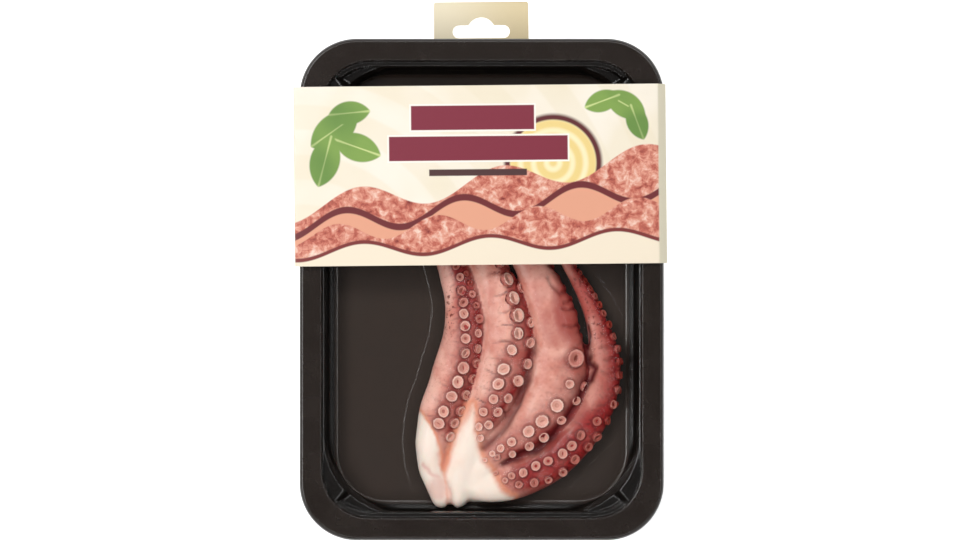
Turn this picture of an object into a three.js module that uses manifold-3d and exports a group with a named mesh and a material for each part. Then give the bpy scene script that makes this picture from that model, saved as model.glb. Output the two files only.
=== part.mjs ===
// Cooked octopus arms skin-packed on a black tray, with a card sleeve that has a hang tab.
//
// Millimetres. The pack lies on its back: +X is the pack's width, +Y its length towards the
// hang tab and +Z up. Every piece is built in the tray's frame, whose origin is the middle of
// the tray on the surface that the pack lies on. The finished group is then moved so that its
// origin is the bottom centre of the whole pack's box.
import * as THREE from 'three';
import { mergeVertices } from 'three/addons/utils/BufferGeometryUtils.js';
import Module from 'manifold-3d';

const wasm = await Module();
wasm.setup();

// ---------------------------------------------------------------- driving dimensions

const GAP = 0.3;                      // air kept between pieces that lie on each other
const WELD = 1e-3;                    // vertices closer than this are one
const FINEST = 0.1;                   // detail smaller than this is left out of a cut or join
const CARD = 0.5;                     // thickness of the sleeve's card

const TRAY = {
  width: 190,
  length: 262,
  height: 24,
  lift: CARD + GAP,                   // the tray lies on the sleeve's back panel
  wall: 0.9,                          // thickness of the formed sheet, and the floor's height
};

// One loop of the tray's upper surface for each crease, from the rim inwards: how far it lies
// inside the outline, its corner radius and its height over the tray's underside. pocket is how
// far it moves in, and drop how far it goes down, in the stacking pocket of each corner.
const TRAY_CREASES = [
  { name: 'rim', inset: 0, radius: 29.5, z: 24 },
  { name: 'flange_edge', inset: 11, radius: 25.4, z: 24 },
  { name: 'ledge', inset: 11.5, radius: 25, z: 20.6 },
  { name: 'pocket_edge', inset: 11.6, radius: 25, z: 20.5, pocket: 2.2 },
  { name: 'pocket_floor', inset: 11.7, radius: 25, z: 20.4, pocket: 2.5, drop: 4.5 },
  { name: 'wall_top', inset: 12.2, radius: 41, z: 20.2, drop: 4.5 },
  { name: 'wall_foot', inset: 13.6, radius: 39.4, z: 3 },
  { name: 'step', inset: 15.8, radius: 31, z: 2 },
  { name: 'floor_edge', inset: 18, radius: 25, z: TRAY.wall },
];

// The clear film on the tray: its thickness, how far it stays inside the rim, and how far its
// window stays outside the octopus.
const FILM = { thickness: 0.25, margin: 0.8, clearOfArms: 1.1 };

// How far the block that stands for the tray in cuts reaches past the rim and below the floor.
const BEYOND_TRAY = { inset: -5, radius: 30, z: -20 };

// The arms' routes from the white flesh at the base to the tip: x, y, half of the arm's width,
// and the angle from straight up at which the double row of suckers faces. suckers says where
// along the arm the rows start, and their spacing, radius and half angle between the two rows,
// the first two lengths as shares of the arm's half width.
const ARMS = [
  {
    suckers: { start: 0.165, pitch: 0.69, radius: 0.27, spread: 21 },
    route: [
      [-20.5, -117, 3.6, 12], [-26, -93, 8, 20], [-24, -72, 10.5, 30],
      [-16, -48, 11.5, 38], [-9.5, -24, 10.8, 31], [-10.8, -2, 9.5, 26],
      [-18.3, 20, 8, 28], [-28, 40, 6.5, 30], [-35, 61, 4.2, 36],
      [-32.5, 77, 2.3, 40], [-21, 84.5, 1, 40],
    ],
  },
  {
    suckers: { start: 0.185, pitch: 0.69, radius: 0.26, spread: 20 },
    route: [
      [-13.5, -117, 5, 5], [-10.5, -96, 9, 8], [-3.5, -75.5, 9.3, 8],
      [8, -53, 12.4, 14], [14.4, -33, 13.8, 30], [12, -9, 11.6, 58],
      [-0.5, 20, 8.4, 78], [-10, 40, 5.8, 80], [-14.5, 60, 3.8, 70],
      [-9, 78, 2, 60], [1.5, 83.5, 1, 60],
    ],
  },
  {
    suckers: { start: 0.105, pitch: 0.8, radius: 0.25, spread: 21 },
    route: [
      [-7, -104, 8, 12], [6, -86.5, 9, 16], [22, -76, 12.3, 20],
      [36, -60.5, 15.8, 30], [41.8, -38.5, 14.9, 50], [39.9, -25.5, 12.5, 70],
      [37.4, -12, 12, 84], [26.8, 12.5, 9.3, 88], [15, 36, 7.6, 82], [7.4, 60, 4.7, 72],
      [11.5, 79, 2.6, 70], [22.5, 85.5, 1, 70],
    ],
  },
  {
    suckers: { start: 0.12, pitch: 0.72, radius: 0.27, spread: 22 },
    route: [
      [-7.5, -105, 8, 14], [14, -103, 9.3, 22], [36, -91.5, 10.8, 26],
      [54, -73.5, 10.2, 38], [63.8, -54, 8.9, 66], [64.5, -33, 8, 80],
      [58.5, -10.5, 4.8, 80], [46.4, 12.5, 3.3, 80], [34.5, 36, 2.3, 80],
      [31, 58, 1.4, 80], [36, 67, 0.8, 80],
    ],
  },
];
const ARM_SECTION = {
  sides: 12,
  steps: 22,
  fullHeight: 10.5,                   // half height that a very wide arm tends to
  flattening: 8,                      // half width at which flattening under the film shows
  seat: 0.8,                          // the centre's height over the floor, in half heights
  boxyBelow: 0.35,                    // power of the sine that fills the section's lower half
  bluntest: 0.1,                      // square of the least size of an end's rounding
  divisions: 400,                     // steps in which a route's length is measured
};
// The white flesh that joins the arms: lumps at x, y, with half sizes across, along and up.
const FLESH = [
  { at: [-18, -97], half: [7, 16, 10] },
  { at: [-14, -108], half: [9, 8.5, 10] },
  { at: [-3, -102], half: [17, 12, 11.5] },
  { at: [0, -86], half: [9, 12, 12] },
  { at: [14, -94], half: [13, 8.5, 10.5] },
];
const LUMP_SIDES = [12, 8];           // faces of a lump around and from top to bottom
const SUCKER = {
  sides: 6,
  sunk: 0.9,                          // depth of its foot in the arm, in radii
  rim: 0.42,                          // height of its rim, in radii
  cup: 0.02,                          // height of the bottom of its cup, in radii
  smallest: 1.6,                      // radius below which a row ends
  fewest: 8,                          // suckers that a row has at least
  youngest: 0.55,                     // size of a row's first, as a share of a grown one
  growth: 0.06,                       // how much of that share each next one gains
  uneven: 0.08,                       // random share of the radius
  seed: 8,
};

// The sleeve's outer section from the left side up and over to the right: x and z.
const SLEEVE = {
  centre: [-2.7, 59.7],
  length: 93.6,
  turn: THREE.MathUtils.degToRad(0.55),
  section: [[-89, 0], [-95.5, 25.4], [-95.1, 29], [95, 29], [99.6, 24.9], [90.5, 0]],
};
// The hang tab, and its euro hole: a slot with a round hump in the middle of its upper side.
const TAB = { x: 3.2, width: 50.6, end: 153.6, corner: 1.5, overlap: 12 };
const EURO_HOLE = { width: 30.6, height: 6.9, y: 137.7, humpRadius: 7.6 };
const CURVE_SEGMENTS = 8;             // straight pieces of a rounded corner or end

// ---------------------------------------------------------------- small tools

/** A closed geometry as a solid, with faces that point out. */
function toSolid(geometry) {
  const bare = geometry.clone();
  bare.deleteAttribute('normal');
  bare.deleteAttribute('uv');
  const merged = mergeVertices(bare, WELD);
  const mesh = new wasm.Mesh({
    numProp: 3,
    vertProperties: Float32Array.from(merged.attributes.position.array),
    triVerts: Uint32Array.from(merged.index.array),
  });
  mesh.merge();
  return new wasm.Manifold(mesh);
}

/** A solid as a geometry. */
function toGeometry(solid) {
  const mesh = solid.getMesh();
  const geometry = new THREE.BufferGeometry();
  const positions = new Float32Array(mesh.numVert * 3);
  for (let v = 0; v < mesh.numVert; v++) {
    for (let k = 0; k < 3; k++) positions[3 * v + k] = mesh.vertProperties[v * mesh.numProp + k];
  }
  geometry.setAttribute('position', new THREE.BufferAttribute(positions, 3));
  geometry.setIndex(Array.from(mesh.triVerts));
  return geometry;
}

/** A solid without loose scraps and with its sealed hollows filled. */
function inOneBody(solid) {
  const bodies = toSolid(toGeometry(solid.simplify(FINEST))).decompose();
  return bodies.sort((a, b) => b.volume() - a.volume())[0];
}

/** A closed shell through loops of equal length, with a fan over the first and the last. */
function loft(loops) {
  const size = loops[0].length;
  const points = loops.flat();
  const index = [];
  for (let i = 0; i + 1 < loops.length; i++) {
    for (let k = 0; k < size; k++) {
      const next = (k + 1) % size;
      const [here, beyond] = [i * size, (i + 1) * size];
      index.push(here + k, here + next, beyond + next, here + k, beyond + next, beyond + k);
    }
  }
  const middle = (loop) => loop.reduce((sum, p) => sum.add(p), new THREE.Vector3())
    .divideScalar(loop.length);
  const first = points.push(middle(loops[0])) - 1;
  const last = points.push(middle(loops[loops.length - 1])) - 1;
  const base = (loops.length - 1) * size;
  for (let k = 0; k < size; k++) {
    const next = (k + 1) % size;
    index.push(first, next, k, last, base + k, base + next);
  }
  const geometry = new THREE.BufferGeometry().setFromPoints(points);
  geometry.setIndex(index);
  return geometry;
}

/** A repeatable random number between -1 and 1. */
function randomSource(seed) {
  let state = seed;
  return () => {
    state = (state * 1664525 + 1013904223) % 4294967296;
    return state / 2147483648 - 1;
  };
}

// ---------------------------------------------------------------- tray and film

// Where a corner's points lie between its long side, 0, and its short side, 1. The pair at the
// middle makes the blunt end of the stacking pocket.
const CORNER_SHARES = [0, 0.2, 0.37, 0.485, 0.515, 0.68, 0.84, 1];

/** One rounded rectangle of the tray, with the corner pockets moved in and down. */
function trayLoop({ inset, radius, z, pocket = 0, drop = 0 }) {
  const loop = [];
  for (let corner = 0; corner < 4; corner++) {
    const fromLongSide = corner % 2 === 0;
    const shares = fromLongSide ? CORNER_SHARES : CORNER_SHARES.map((s) => 1 - s).reverse();
    const signX = corner === 0 || corner === 3 ? 1 : -1;
    const signY = corner < 2 ? 1 : -1;
    for (const share of shares) {
      const angle = (corner + share) * Math.PI / 2;
      const towardsShort = fromLongSide ? share : 1 - share;
      const inPocket = towardsShort > 0.5 ? 1 : 0;
      const reach = radius - inPocket * pocket;
      loop.push(new THREE.Vector3(
        signX * (TRAY.width / 2 - inset - radius) + reach * Math.cos(angle),
        signY * (TRAY.length / 2 - inset - radius) + reach * Math.sin(angle),
        TRAY.lift + z - inPocket * drop,
      ));
    }
  }
  return loop;
}

/** The tray's upper creases moved in and up by a distance, or out and down by a negative one. */
function shiftedCreases(distance) {
  return TRAY_CREASES.map((crease) => ({
    ...crease,
    inset: crease.inset + (crease.name === 'rim' ? 0 : distance),
    radius: crease.radius - (crease.name === 'rim' ? 0 : distance),
    z: crease.z + distance,
  }));
}

function tray() {
  const underside = shiftedCreases(-TRAY.wall).reverse().map(trayLoop);
  const upperSide = TRAY_CREASES.map(trayLoop);
  return toSolid(loft([...underside, ...upperSide]));
}

/** What the octopus has to stay out of: the tray, its film and all that is below them. */
function trayClearance() {
  const creases = shiftedCreases(GAP);
  const above = { ...BEYOND_TRAY, z: TRAY.height };
  return toSolid(loft([BEYOND_TRAY, above, ...creases].map(trayLoop)));
}

function film(window) {
  const side = (distance) => shiftedCreases(distance).map((crease) => (
    crease.name === 'rim'
      ? { ...crease, inset: FILM.margin, radius: crease.radius - FILM.margin }
      : crease
  ));
  const lower = side(GAP).reverse().map(trayLoop);
  const upper = side(GAP + FILM.thickness).map(trayLoop);
  return toSolid(loft([...lower, ...upper])).subtract(window);
}

// ---------------------------------------------------------------- octopus

/** The smooth route of an arm: place, sideways direction and half sizes at a share of it. */
function armCourse(route) {
  const through = (points) => new THREE.CatmullRomCurve3(points, false, 'catmullrom');
  const places = through(route.map(([x, y]) => new THREE.Vector3(x, y, 0)));
  const sizes = through(route.map(([, , r, roll]) => new THREE.Vector3(r, roll, 0)));
  places.arcLengthDivisions = ARM_SECTION.divisions;
  const length = places.getLength();
  return {
    length,
    at(travelled) {
      const t = places.getUtoTmapping(0, Math.min(travelled, length));
      const along = places.getTangent(t);
      const side = new THREE.Vector3(along.y, -along.x, 0);
      const { x: halfWidth, y: roll } = sizes.getPoint(t);
      const fullness = 1 - Math.exp(-halfWidth / ARM_SECTION.flattening);
      const halfHeight = ARM_SECTION.fullHeight * fullness;
      const centre = places.getPoint(t);
      centre.z = TRAY.lift + TRAY.wall + GAP + ARM_SECTION.seat * halfHeight;
      return { centre, along, side, halfWidth, halfHeight, roll };
    },
  };
}

/** A point of an arm's section at an angle from straight up towards its sucker side. */
function onSection({ centre, side, halfWidth, halfHeight }, angle, scale = 1) {
  const boxiness = Math.cos(angle) < 0 ? ARM_SECTION.boxyBelow : 1;
  const sideways = Math.sign(Math.sin(angle)) * Math.abs(Math.sin(angle)) ** boxiness;
  return centre.clone()
    .addScaledVector(side, scale * halfWidth * sideways)
    .add(new THREE.Vector3(0, 0, scale * halfHeight * Math.cos(angle)));
}

/** One bare arm, rounded at both ends and grown sideways by an extra width. */
function bareArm(course, grown = 0) {
  const loops = [];
  for (let i = 0; i <= ARM_SECTION.steps; i++) {
    const travelled = course.length * i / ARM_SECTION.steps;
    const section = course.at(travelled);
    const toEnd = Math.min(travelled, course.length - travelled) / section.halfWidth;
    const roundness = 1 - (1 - Math.min(1, toEnd)) ** 2;
    const rounding = Math.sqrt(Math.max(ARM_SECTION.bluntest, roundness));
    section.halfWidth += grown / rounding;
    section.halfHeight += grown / rounding;
    const loop = [];
    for (let k = 0; k < ARM_SECTION.sides; k++) {
      loop.push(onSection(section, 2 * Math.PI * k / ARM_SECTION.sides, rounding));
    }
    loops.push(loop);
  }
  return toSolid(loft(loops));
}

/** The cupped suckers of one arm in two alternating rows. */
function armSuckers(course, { start, pitch, radius, spread }, random) {
  const { sunk, rim, cup, smallest, fewest, youngest, growth, uneven } = SUCKER;
  const profile = [[0, -sunk], [0.85, -sunk], [1, rim], [0, cup]];
  const suckers = [];
  let travelled = start * course.length;
  for (let n = 0; ; n++) {
    const section = course.at(travelled);
    const young = Math.min(1, youngest + growth * n);
    const size = radius * section.halfWidth * young * (1 + uneven * random());
    if (size < smallest && n > fewest) return suckers;
    const angle = THREE.MathUtils.degToRad(section.roll + (n % 2 ? spread : -spread));
    const outward = section.side.clone().multiplyScalar(Math.sin(angle) / section.halfWidth)
      .add(new THREE.Vector3(0, 0, Math.cos(angle) / section.halfHeight)).normalize();
    const across = new THREE.Vector3().crossVectors(outward, section.along);
    const outline = profile.map(([r, h]) => new THREE.Vector2(r * size, h * size));
    const body = new THREE.LatheGeometry(outline, SUCKER.sides);
    const place = new THREE.Matrix4().makeBasis(across, outward, section.along)
      .setPosition(onSection(section, angle));
    suckers.push(toSolid(body.applyMatrix4(place)));
    travelled += pitch * section.halfWidth * (0.8 + 0.2 * young) / 2;
  }
}

/** One lump of the white flesh, seated on the tray's floor as the arms are. */
function fleshLump({ at: [x, y], half }) {
  const lump = new THREE.SphereGeometry(1, ...LUMP_SIDES).rotateX(Math.PI / 2).scale(...half);
  return toSolid(lump.translate(x, y, TRAY.lift + TRAY.wall));
}

function octopus(clearance) {
  const random = randomSource(SUCKER.seed);
  const pieces = ARMS.flatMap(({ route, suckers }) => {
    const course = armCourse(route);
    return [bareArm(course), ...armSuckers(course, suckers, random)];
  });
  return wasm.Manifold.union([...pieces, ...FLESH.map(fleshLump)]).subtract(clearance);
}

/** The arms and the flesh, grown sideways: the window that the film leaves round them. */
function octopusWindow() {
  const grown = FLESH.map(({ at, half }) => (
    { at, half: half.map((size) => size + FILM.clearOfArms) }
  ));
  return wasm.Manifold.union([
    ...ARMS.map(({ route }) => bareArm(armCourse(route), FILM.clearOfArms)),
    ...grown.map(fleshLump),
  ]);
}

// ---------------------------------------------------------------- sleeve

/** A flat shape in X and Y as a plate between two heights. */
function plate(shape, low, high) {
  const geometry = new THREE.ExtrudeGeometry(shape, {
    depth: high - low, bevelEnabled: false, curveSegments: CURVE_SEGMENTS,
  });
  return toSolid(geometry.translate(0, 0, low));
}

/** The card's inner line: each crease moved in along the corner's bisector. */
function insideOf(section, thickness) {
  return section.map((point, i) => {
    const here = new THREE.Vector2(...point);
    const before = new THREE.Vector2(...section[(i + section.length - 1) % section.length]);
    const after = new THREE.Vector2(...section[(i + 1) % section.length]);
    const a = here.clone().sub(before).normalize();
    const b = after.clone().sub(here).normalize();
    const normalA = new THREE.Vector2(a.y, -a.x);
    const normalB = new THREE.Vector2(b.y, -b.x);
    const bisector = normalA.add(normalB);
    return here.add(bisector.multiplyScalar(2 * thickness / bisector.lengthSq()));
  });
}

function sleeveBand() {
  const band = new THREE.Shape(SLEEVE.section.map(([x, z]) => new THREE.Vector2(x, z)));
  band.holes.push(new THREE.Path(insideOf(SLEEVE.section, CARD).reverse()));
  const geometry = new THREE.ExtrudeGeometry(band, { depth: SLEEVE.length, bevelEnabled: false });
  geometry.rotateX(Math.PI / 2).translate(0, SLEEVE.length / 2, 0);
  return toSolid(geometry);
}

function hangTab() {
  const [, centreY] = SLEEVE.centre;
  const root = SLEEVE.length / 2 - TAB.overlap;
  const end = TAB.end - centreY;
  const [left, right] = [TAB.x - TAB.width / 2, TAB.x + TAB.width / 2];
  const outline = new THREE.Shape();
  outline.moveTo(left, root);
  outline.lineTo(right, root);
  outline.lineTo(right, end - TAB.corner);
  outline.absarc(right - TAB.corner, end - TAB.corner, TAB.corner, 0, Math.PI / 2);
  outline.lineTo(left + TAB.corner, end);
  outline.absarc(left + TAB.corner, end - TAB.corner, TAB.corner, Math.PI / 2, Math.PI);

  const y = EURO_HOLE.y - centreY;
  const endRadius = EURO_HOLE.height / 2;
  const toEnd = EURO_HOLE.width / 2 - endRadius;
  const slot = new THREE.Shape();
  slot.absarc(TAB.x + toEnd, y, endRadius, -Math.PI / 2, Math.PI / 2);
  slot.absarc(TAB.x - toEnd, y, endRadius, Math.PI / 2, 3 * Math.PI / 2);
  const hump = new THREE.Shape();
  hump.absarc(TAB.x, y, EURO_HOLE.humpRadius, 0, Math.PI);
  return plate(outline, 0, CARD)
    .subtract(plate(slot, -1, 1 + CARD))
    .subtract(plate(hump, -1, 1 + CARD));
}

function sleeve() {
  const [x, y] = SLEEVE.centre;
  return sleeveBand().add(hangTab())
    .rotate([0, 0, THREE.MathUtils.radToDeg(SLEEVE.turn)])
    .translate([x, y, 0]);
}

// ---------------------------------------------------------------- the pack

const FINISHES = {
  tray: { color: 0x2c2826, roughness: 0.35, metalness: 0 },
  octopus: { color: 0xc98f84, roughness: 0.4, metalness: 0 },
  skin_film: { color: 0xd8dcdc, roughness: 0.08, metalness: 0, transparent: true, opacity: 0.25 },
  sleeve: { color: 0xf2e9d8, roughness: 0.6, metalness: 0 },
};

function node(name, solid) {
  const finish = new THREE.MeshStandardMaterial(FINISHES[name]);
  const mesh = new THREE.Mesh(toGeometry(inOneBody(solid)), finish);
  mesh.name = name;
  return mesh;
}

const pack = new THREE.Group();
pack.add(
  node('tray', tray()),
  node('octopus', octopus(trayClearance())),
  node('skin_film', film(octopusWindow())),
  node('sleeve', sleeve()),
);

const box = new THREE.Box3().setFromObject(pack);
const middle = box.getCenter(new THREE.Vector3());
pack.position.set(-middle.x, -middle.y, -box.min.z);

export default pack;
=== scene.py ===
"""Cooked octopus arms skin-packed on a black food tray, with a printed card sleeve and a hang tab.

Every mesh is built in millimetres from the middle of the tray and put in its place at the end.
"""

from math import asin, cos, degrees, pi, radians, sin, sqrt

import bmesh
import bpy
import numpy as np
from mathutils import Matrix, Vector, noise
from mathutils.bvhtree import BVHTree


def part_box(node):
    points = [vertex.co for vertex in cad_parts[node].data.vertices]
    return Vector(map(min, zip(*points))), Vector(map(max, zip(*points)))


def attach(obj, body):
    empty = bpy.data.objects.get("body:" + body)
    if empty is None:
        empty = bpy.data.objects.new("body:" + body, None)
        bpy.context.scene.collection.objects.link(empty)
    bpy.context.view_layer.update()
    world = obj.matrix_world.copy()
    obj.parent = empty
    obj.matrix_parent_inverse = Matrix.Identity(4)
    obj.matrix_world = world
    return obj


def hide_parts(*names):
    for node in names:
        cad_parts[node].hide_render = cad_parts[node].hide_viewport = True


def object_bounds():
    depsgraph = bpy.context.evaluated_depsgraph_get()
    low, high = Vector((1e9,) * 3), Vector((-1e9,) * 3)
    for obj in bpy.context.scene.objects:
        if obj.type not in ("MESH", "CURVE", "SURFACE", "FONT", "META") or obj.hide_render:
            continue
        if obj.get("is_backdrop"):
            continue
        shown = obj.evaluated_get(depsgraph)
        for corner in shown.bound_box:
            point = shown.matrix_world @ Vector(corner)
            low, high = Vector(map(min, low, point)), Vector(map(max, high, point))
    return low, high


bl_info = {
    "name": "Cooked octopus pack",
    "version": (1, 0, 0),
    "blender": (4, 5, 0),
    "location": "View3D > Sidebar > Octopus pack",
    "description": "Octopus arms under skin film on a tray, with a card sleeve",
    "category": "Object",
}

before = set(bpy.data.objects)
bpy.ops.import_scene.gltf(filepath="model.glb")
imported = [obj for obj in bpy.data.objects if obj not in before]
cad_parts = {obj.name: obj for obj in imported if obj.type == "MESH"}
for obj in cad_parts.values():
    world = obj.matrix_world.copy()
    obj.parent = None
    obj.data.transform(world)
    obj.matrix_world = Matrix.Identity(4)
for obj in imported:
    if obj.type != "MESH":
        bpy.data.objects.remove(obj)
CAD_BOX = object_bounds()

MM = 0.001
TRAY_LOW, TRAY_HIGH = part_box("tray")
TRAY_MIDDLE = (TRAY_LOW + TRAY_HIGH) / 2
TRAY_SIZE = TRAY_HIGH - TRAY_LOW
TO_FRAME = Matrix.Translation((TRAY_MIDDLE.x, TRAY_MIDDLE.y, 0)) @ Matrix.Scale(MM, 4)
SEED = 8

# ------ shapes: tables of real sizes

# The creases of the tray's upper surface from the rim inwards, in millimetres: how far the loop
# lies inside the outline, its corner radius, its height over the tray's underside, and how far
# the stacking pocket along each short side moves it in and down.
TRAY_CREASES = (
    (0.0, 29.5, 23.1, 0.0, 0.0),
    (0.9, 28.6, 24.0, 0.0, 0.0),
    (11.0, 25.4, 24.0, 0.0, 0.0),
    (11.5, 25.0, 20.6, 0.0, 0.0),
    (11.6, 25.0, 20.5, 2.2, 0.0),
    (11.7, 25.0, 20.4, 2.5, 4.5),
    (12.2, 41.0, 20.2, 0.0, 4.5),
    (13.6, 39.4, 3.0, 0.0, 0.0),
    (15.8, 31.0, 2.0, 0.0, 0.0),
    (18.0, 25.0, 0.9, 0.0, 0.0),
    (19.5, 24.0, 0.9, 0.0, 0.0),
)

# The arms from the white flesh at the base to the tip.
# route: x, y and half width in millimetres, the route of the solid arm.
# rows: each of the two rows of suckers as share of the arm's length, angle from straight up in
# degrees, and radius. Where two of a row lie far apart, more of their kind stand in between.
# folds: how clear the folds are that start between the suckers of the first row.
# lean: at shares of the length, how far the suckers of the first and the second row lean
# outwards, and how far they tumble at random, in degrees.
# skin: at shares of the length, over how many degrees the deep red fades past the rows, how red
# the pale side and the suckers are, and how much of the deep red shows at the first row.
ARMS = (
    {
        "route": ((-20.5, -117, 3.6), (-26, -93, 8), (-24, -72, 10.5), (-16, -48, 11.5),
                  (-9.5, -24, 10.8), (-10.8, -2, 9.5), (-18.3, 20, 8), (-28, 40, 6.5),
                  (-35, 61, 4.2), (-32.5, 77, 2.3), (-21, 84.5, 1)),
        "rows": (
            ((0.219, 3, 3.2), (0.251, 8, 3.2), (0.293, 14, 3.1), (0.33, 18, 3.2),
             (0.367, 19, 3.2), (0.402, 15, 2.7), (0.436, 8, 2.7), (0.466, 2, 2.7),
             (0.496, 0, 2.7), (0.524, 1, 2.6), (0.552, 2, 2.4), (0.585, 10, 2.1),
             (0.75, 14, 1.5), (0.97, 20, 0.5)),
            ((0.152, 64, 2.1), (0.191, 51, 2.6), (0.23, 54, 2.6), (0.265, 60, 2.6),
             (0.306, 56, 2.6), (0.347, 62, 2.6), (0.386, 59, 2.6), (0.418, 50, 2.4),
             (0.451, 44, 2.2), (0.482, 46, 2.5), (0.512, 42, 2.1), (0.539, 35, 1.9),
             (0.565, 36, 1.7), (0.75, 46, 1.4), (0.97, 60, 0.5))),
        "folds": 0.7,
        "lean": ((0.36, 0, 0, 6), (0.40, 12, 0, 20), (0.56, 12, 0, 20)),
        "skin": ((0.2, 42, 0.0, 0.0, 0.6), (0.42, 42, 0.0, 0.15, 0.9),
                 (0.58, 38, 0.25, 0.65, 1.0)),
    },
    {
        "route": ((-13.5, -117, 5), (-10.5, -96, 9), (-3.5, -75.5, 9.3), (8, -53, 12.4),
                  (14.4, -33, 13.8), (12, -9, 11.6), (-0.5, 20, 8.4), (-10, 40, 5.8),
                  (-14.5, 60, 3.8), (-9, 78, 2), (1.5, 83.5, 1)),
        "rows": (
            ((0.188, 23, 2.0), (0.212, 4, 2.1), (0.249, -5, 2.4), (0.288, 1, 2.6),
             (0.326, -2, 3.2), (0.364, -4, 3.2), (0.413, 6, 2.8), (0.451, 21, 3.2),
             (0.491, 27, 3.7), (0.53, 31, 3.7), (0.575, 36, 3.5), (0.62, 46, 3.0),
             (0.75, 66, 1.8), (0.97, 70, 0.5)),
            ((0.227, 26, 2.5), (0.265, 29, 2.8), (0.304, 33, 2.5), (0.35, 40, 2.9),
             (0.388, 50, 2.7), (0.43, 51, 2.7), (0.471, 66, 2.8), (0.515, 78, 2.8),
             (0.575, 84, 2.6), (0.75, 100, 1.4), (0.97, 95, 0.5))),
        "folds": 1.2,
        "lean": ((0.40, 0, 0, 6), (0.44, 26, 0, 4), (0.62, 30, -4, 4), (0.70, 0, 0, 8)),
        "skin": ((0.2, 40, 0.0, 0.0, 0.6), (0.40, 36, 0.0, 0.0, 0.6), (0.46, 22, 0.0, -0.1, 0.8),
                 (1.0, 22, 0.1, 0.2, 1.0)),
    },
    {
        "route": ((-7, -104, 8), (6, -86.5, 9), (22, -76, 12.3), (36, -60.5, 15.8),
                  (41.8, -38.5, 14.9), (39.9, -25.5, 12.5), (37.4, -12, 12), (26.8, 12.5, 9.3),
                  (15, 36, 7.6), (7.4, 60, 4.7), (11.5, 79, 2.6), (22.5, 85.5, 1)),
        "rows": (
            ((0.073, -5, 1.3), (0.119, 3, 2.1), (0.15, 0, 2.5), (0.197, 4, 3.3),
             (0.236, 6, 3.4), (0.283, 14, 3.6), (0.336, 22, 2.5), (0.391, 30, 4.8),
             (0.43, 104, 2.4), (0.6, 104, 2.0), (0.75, 90, 1.6), (0.97, 60, 0.5)),
            ((0.098, 18, 1.7), (0.137, 37, 2.1), (0.177, 37, 2.6), (0.213, 39, 2.6),
             (0.262, 38, 2.6), (0.305, 50, 2.6), (0.368, 90, 2.6), (0.43, 128, 2.2),
             (0.6, 128, 1.9), (0.75, 110, 1.5), (0.97, 90, 0.5))),
        "folds": 0.25,
        "lean": ((0.30, 0, 0, 6), (0.33, 10, 10, 24), (0.385, -14, 0, 0), (0.43, 10, 0, 10)),
        "skin": ((0.1, 40, 0.15, 0.0, 0.5), (0.35, 42, 0.0, 0.0, 0.45), (0.39, 60, 0.05, 0.7, 0.6),
                 (0.6, 76, 0.2, 0.6, 0.9)),
    },
    {
        "route": ((-7.5, -105, 8), (14, -103, 9.3), (36, -91.5, 10.8), (54, -73.5, 10.2),
                  (63.8, -54, 8.9), (64.5, -33, 8), (58.5, -10.5, 4.8), (46.4, 12.5, 3.3),
                  (34.5, 36, 2.3), (31, 58, 1.4), (36, 67, 0.8)),
        "rows": (
            ((0.071, -49, 1.3), (0.092, -14, 1.7), (0.111, -22, 2.0), (0.141, -15, 2.5),
             (0.176, -13, 2.5), (0.207, -7, 2.6), (0.245, 1, 2.6), (0.273, 3, 2.7),
             (0.305, 3, 2.6), (0.353, 22, 2.4), (0.40, 52, 2.3), (0.46, 62, 2.2),
             (0.6, 64, 2.0), (0.75, 66, 1.2), (0.93, 60, 0.5)),
            ((0.12, 11, 2.1), (0.153, 26, 2.5), (0.183, 40, 2.1), (0.218, 48, 2.6),
             (0.256, 42, 2.6), (0.296, 48, 2.6), (0.324, 54, 2.6), (0.365, 60, 2.3),
             (0.40, 80, 2.1), (0.46, 92, 2.0), (0.6, 94, 1.8), (0.75, 98, 1.0),
             (0.93, 90, 0.5))),
        "folds": 0.6,
        "lean": ((0.24, 0, 0, 8), (0.31, 10, 10, 34), (0.45, 10, 0, 30), (0.60, 0, 0, 10)),
        "skin": ((0.1, 40, 0.25, 0.3, 1.0), (0.30, 66, 0.2, 0.5, 1.0), (0.42, 108, 0.32, 0.8, 1.0),
                 (0.6, 110, 0.42, 0.9, 1.0)),
    },
)

# The white flesh that joins the arms: lumps at x, y, with half sizes across, along and up.
FLESH_LUMPS = (
    ((-18, -97), (7, 16, 10)),
    ((-14, -108), (9, 8.5, 10)),
    ((-3, -102), (17, 12, 11.5)),
    ((0, -86), (9, 12, 12)),
    ((14, -94), (13, 8.5, 10.5)),
)

# Where the skin ends and the white flesh shows, seen from above: how soft the edge is, and the
# outline, in millimetres.
BARE_FLESH = (
    (2.8, ((-35.8, -62.5), (-31.4, -65.5), (-27.0, -72.8), (-23.4, -78.8), (-21.4, -86.0),
     (-22.4, -93.4), (-18.9, -100.8), (-18.9, -122), (-30.0, -122), (-40.5, -95.5),
     (-42, -69.1))),
    (5.5, ((-5.6, -60.0), (-4.2, -66.4), (-3.2, -74.3), (-2.0, -82.3), (0.6, -90.2), (5.9, -96.8),
     (10.4, -106.4), (17.0, -110.2), (18.0, -122), (-18.8, -122), (-18.8, -99.5),
     (-16.6, -88.0), (-13.4, -77.5), (-9.8, -68.5))),
)

# Folds of the bare flesh: depth, width and a route of x, y, in millimetres.
FLESH_FOLDS = (
    (1.3, 1.3, ((-21.6, -88.0), (-19.6, -97.0), (-17.0, -109.0), (-17.2, -116.0))),
    (0.5, 1.2, ((-30.5, -93.5), (-27.0, -97.5), (-22.5, -99.5))),
)

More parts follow.
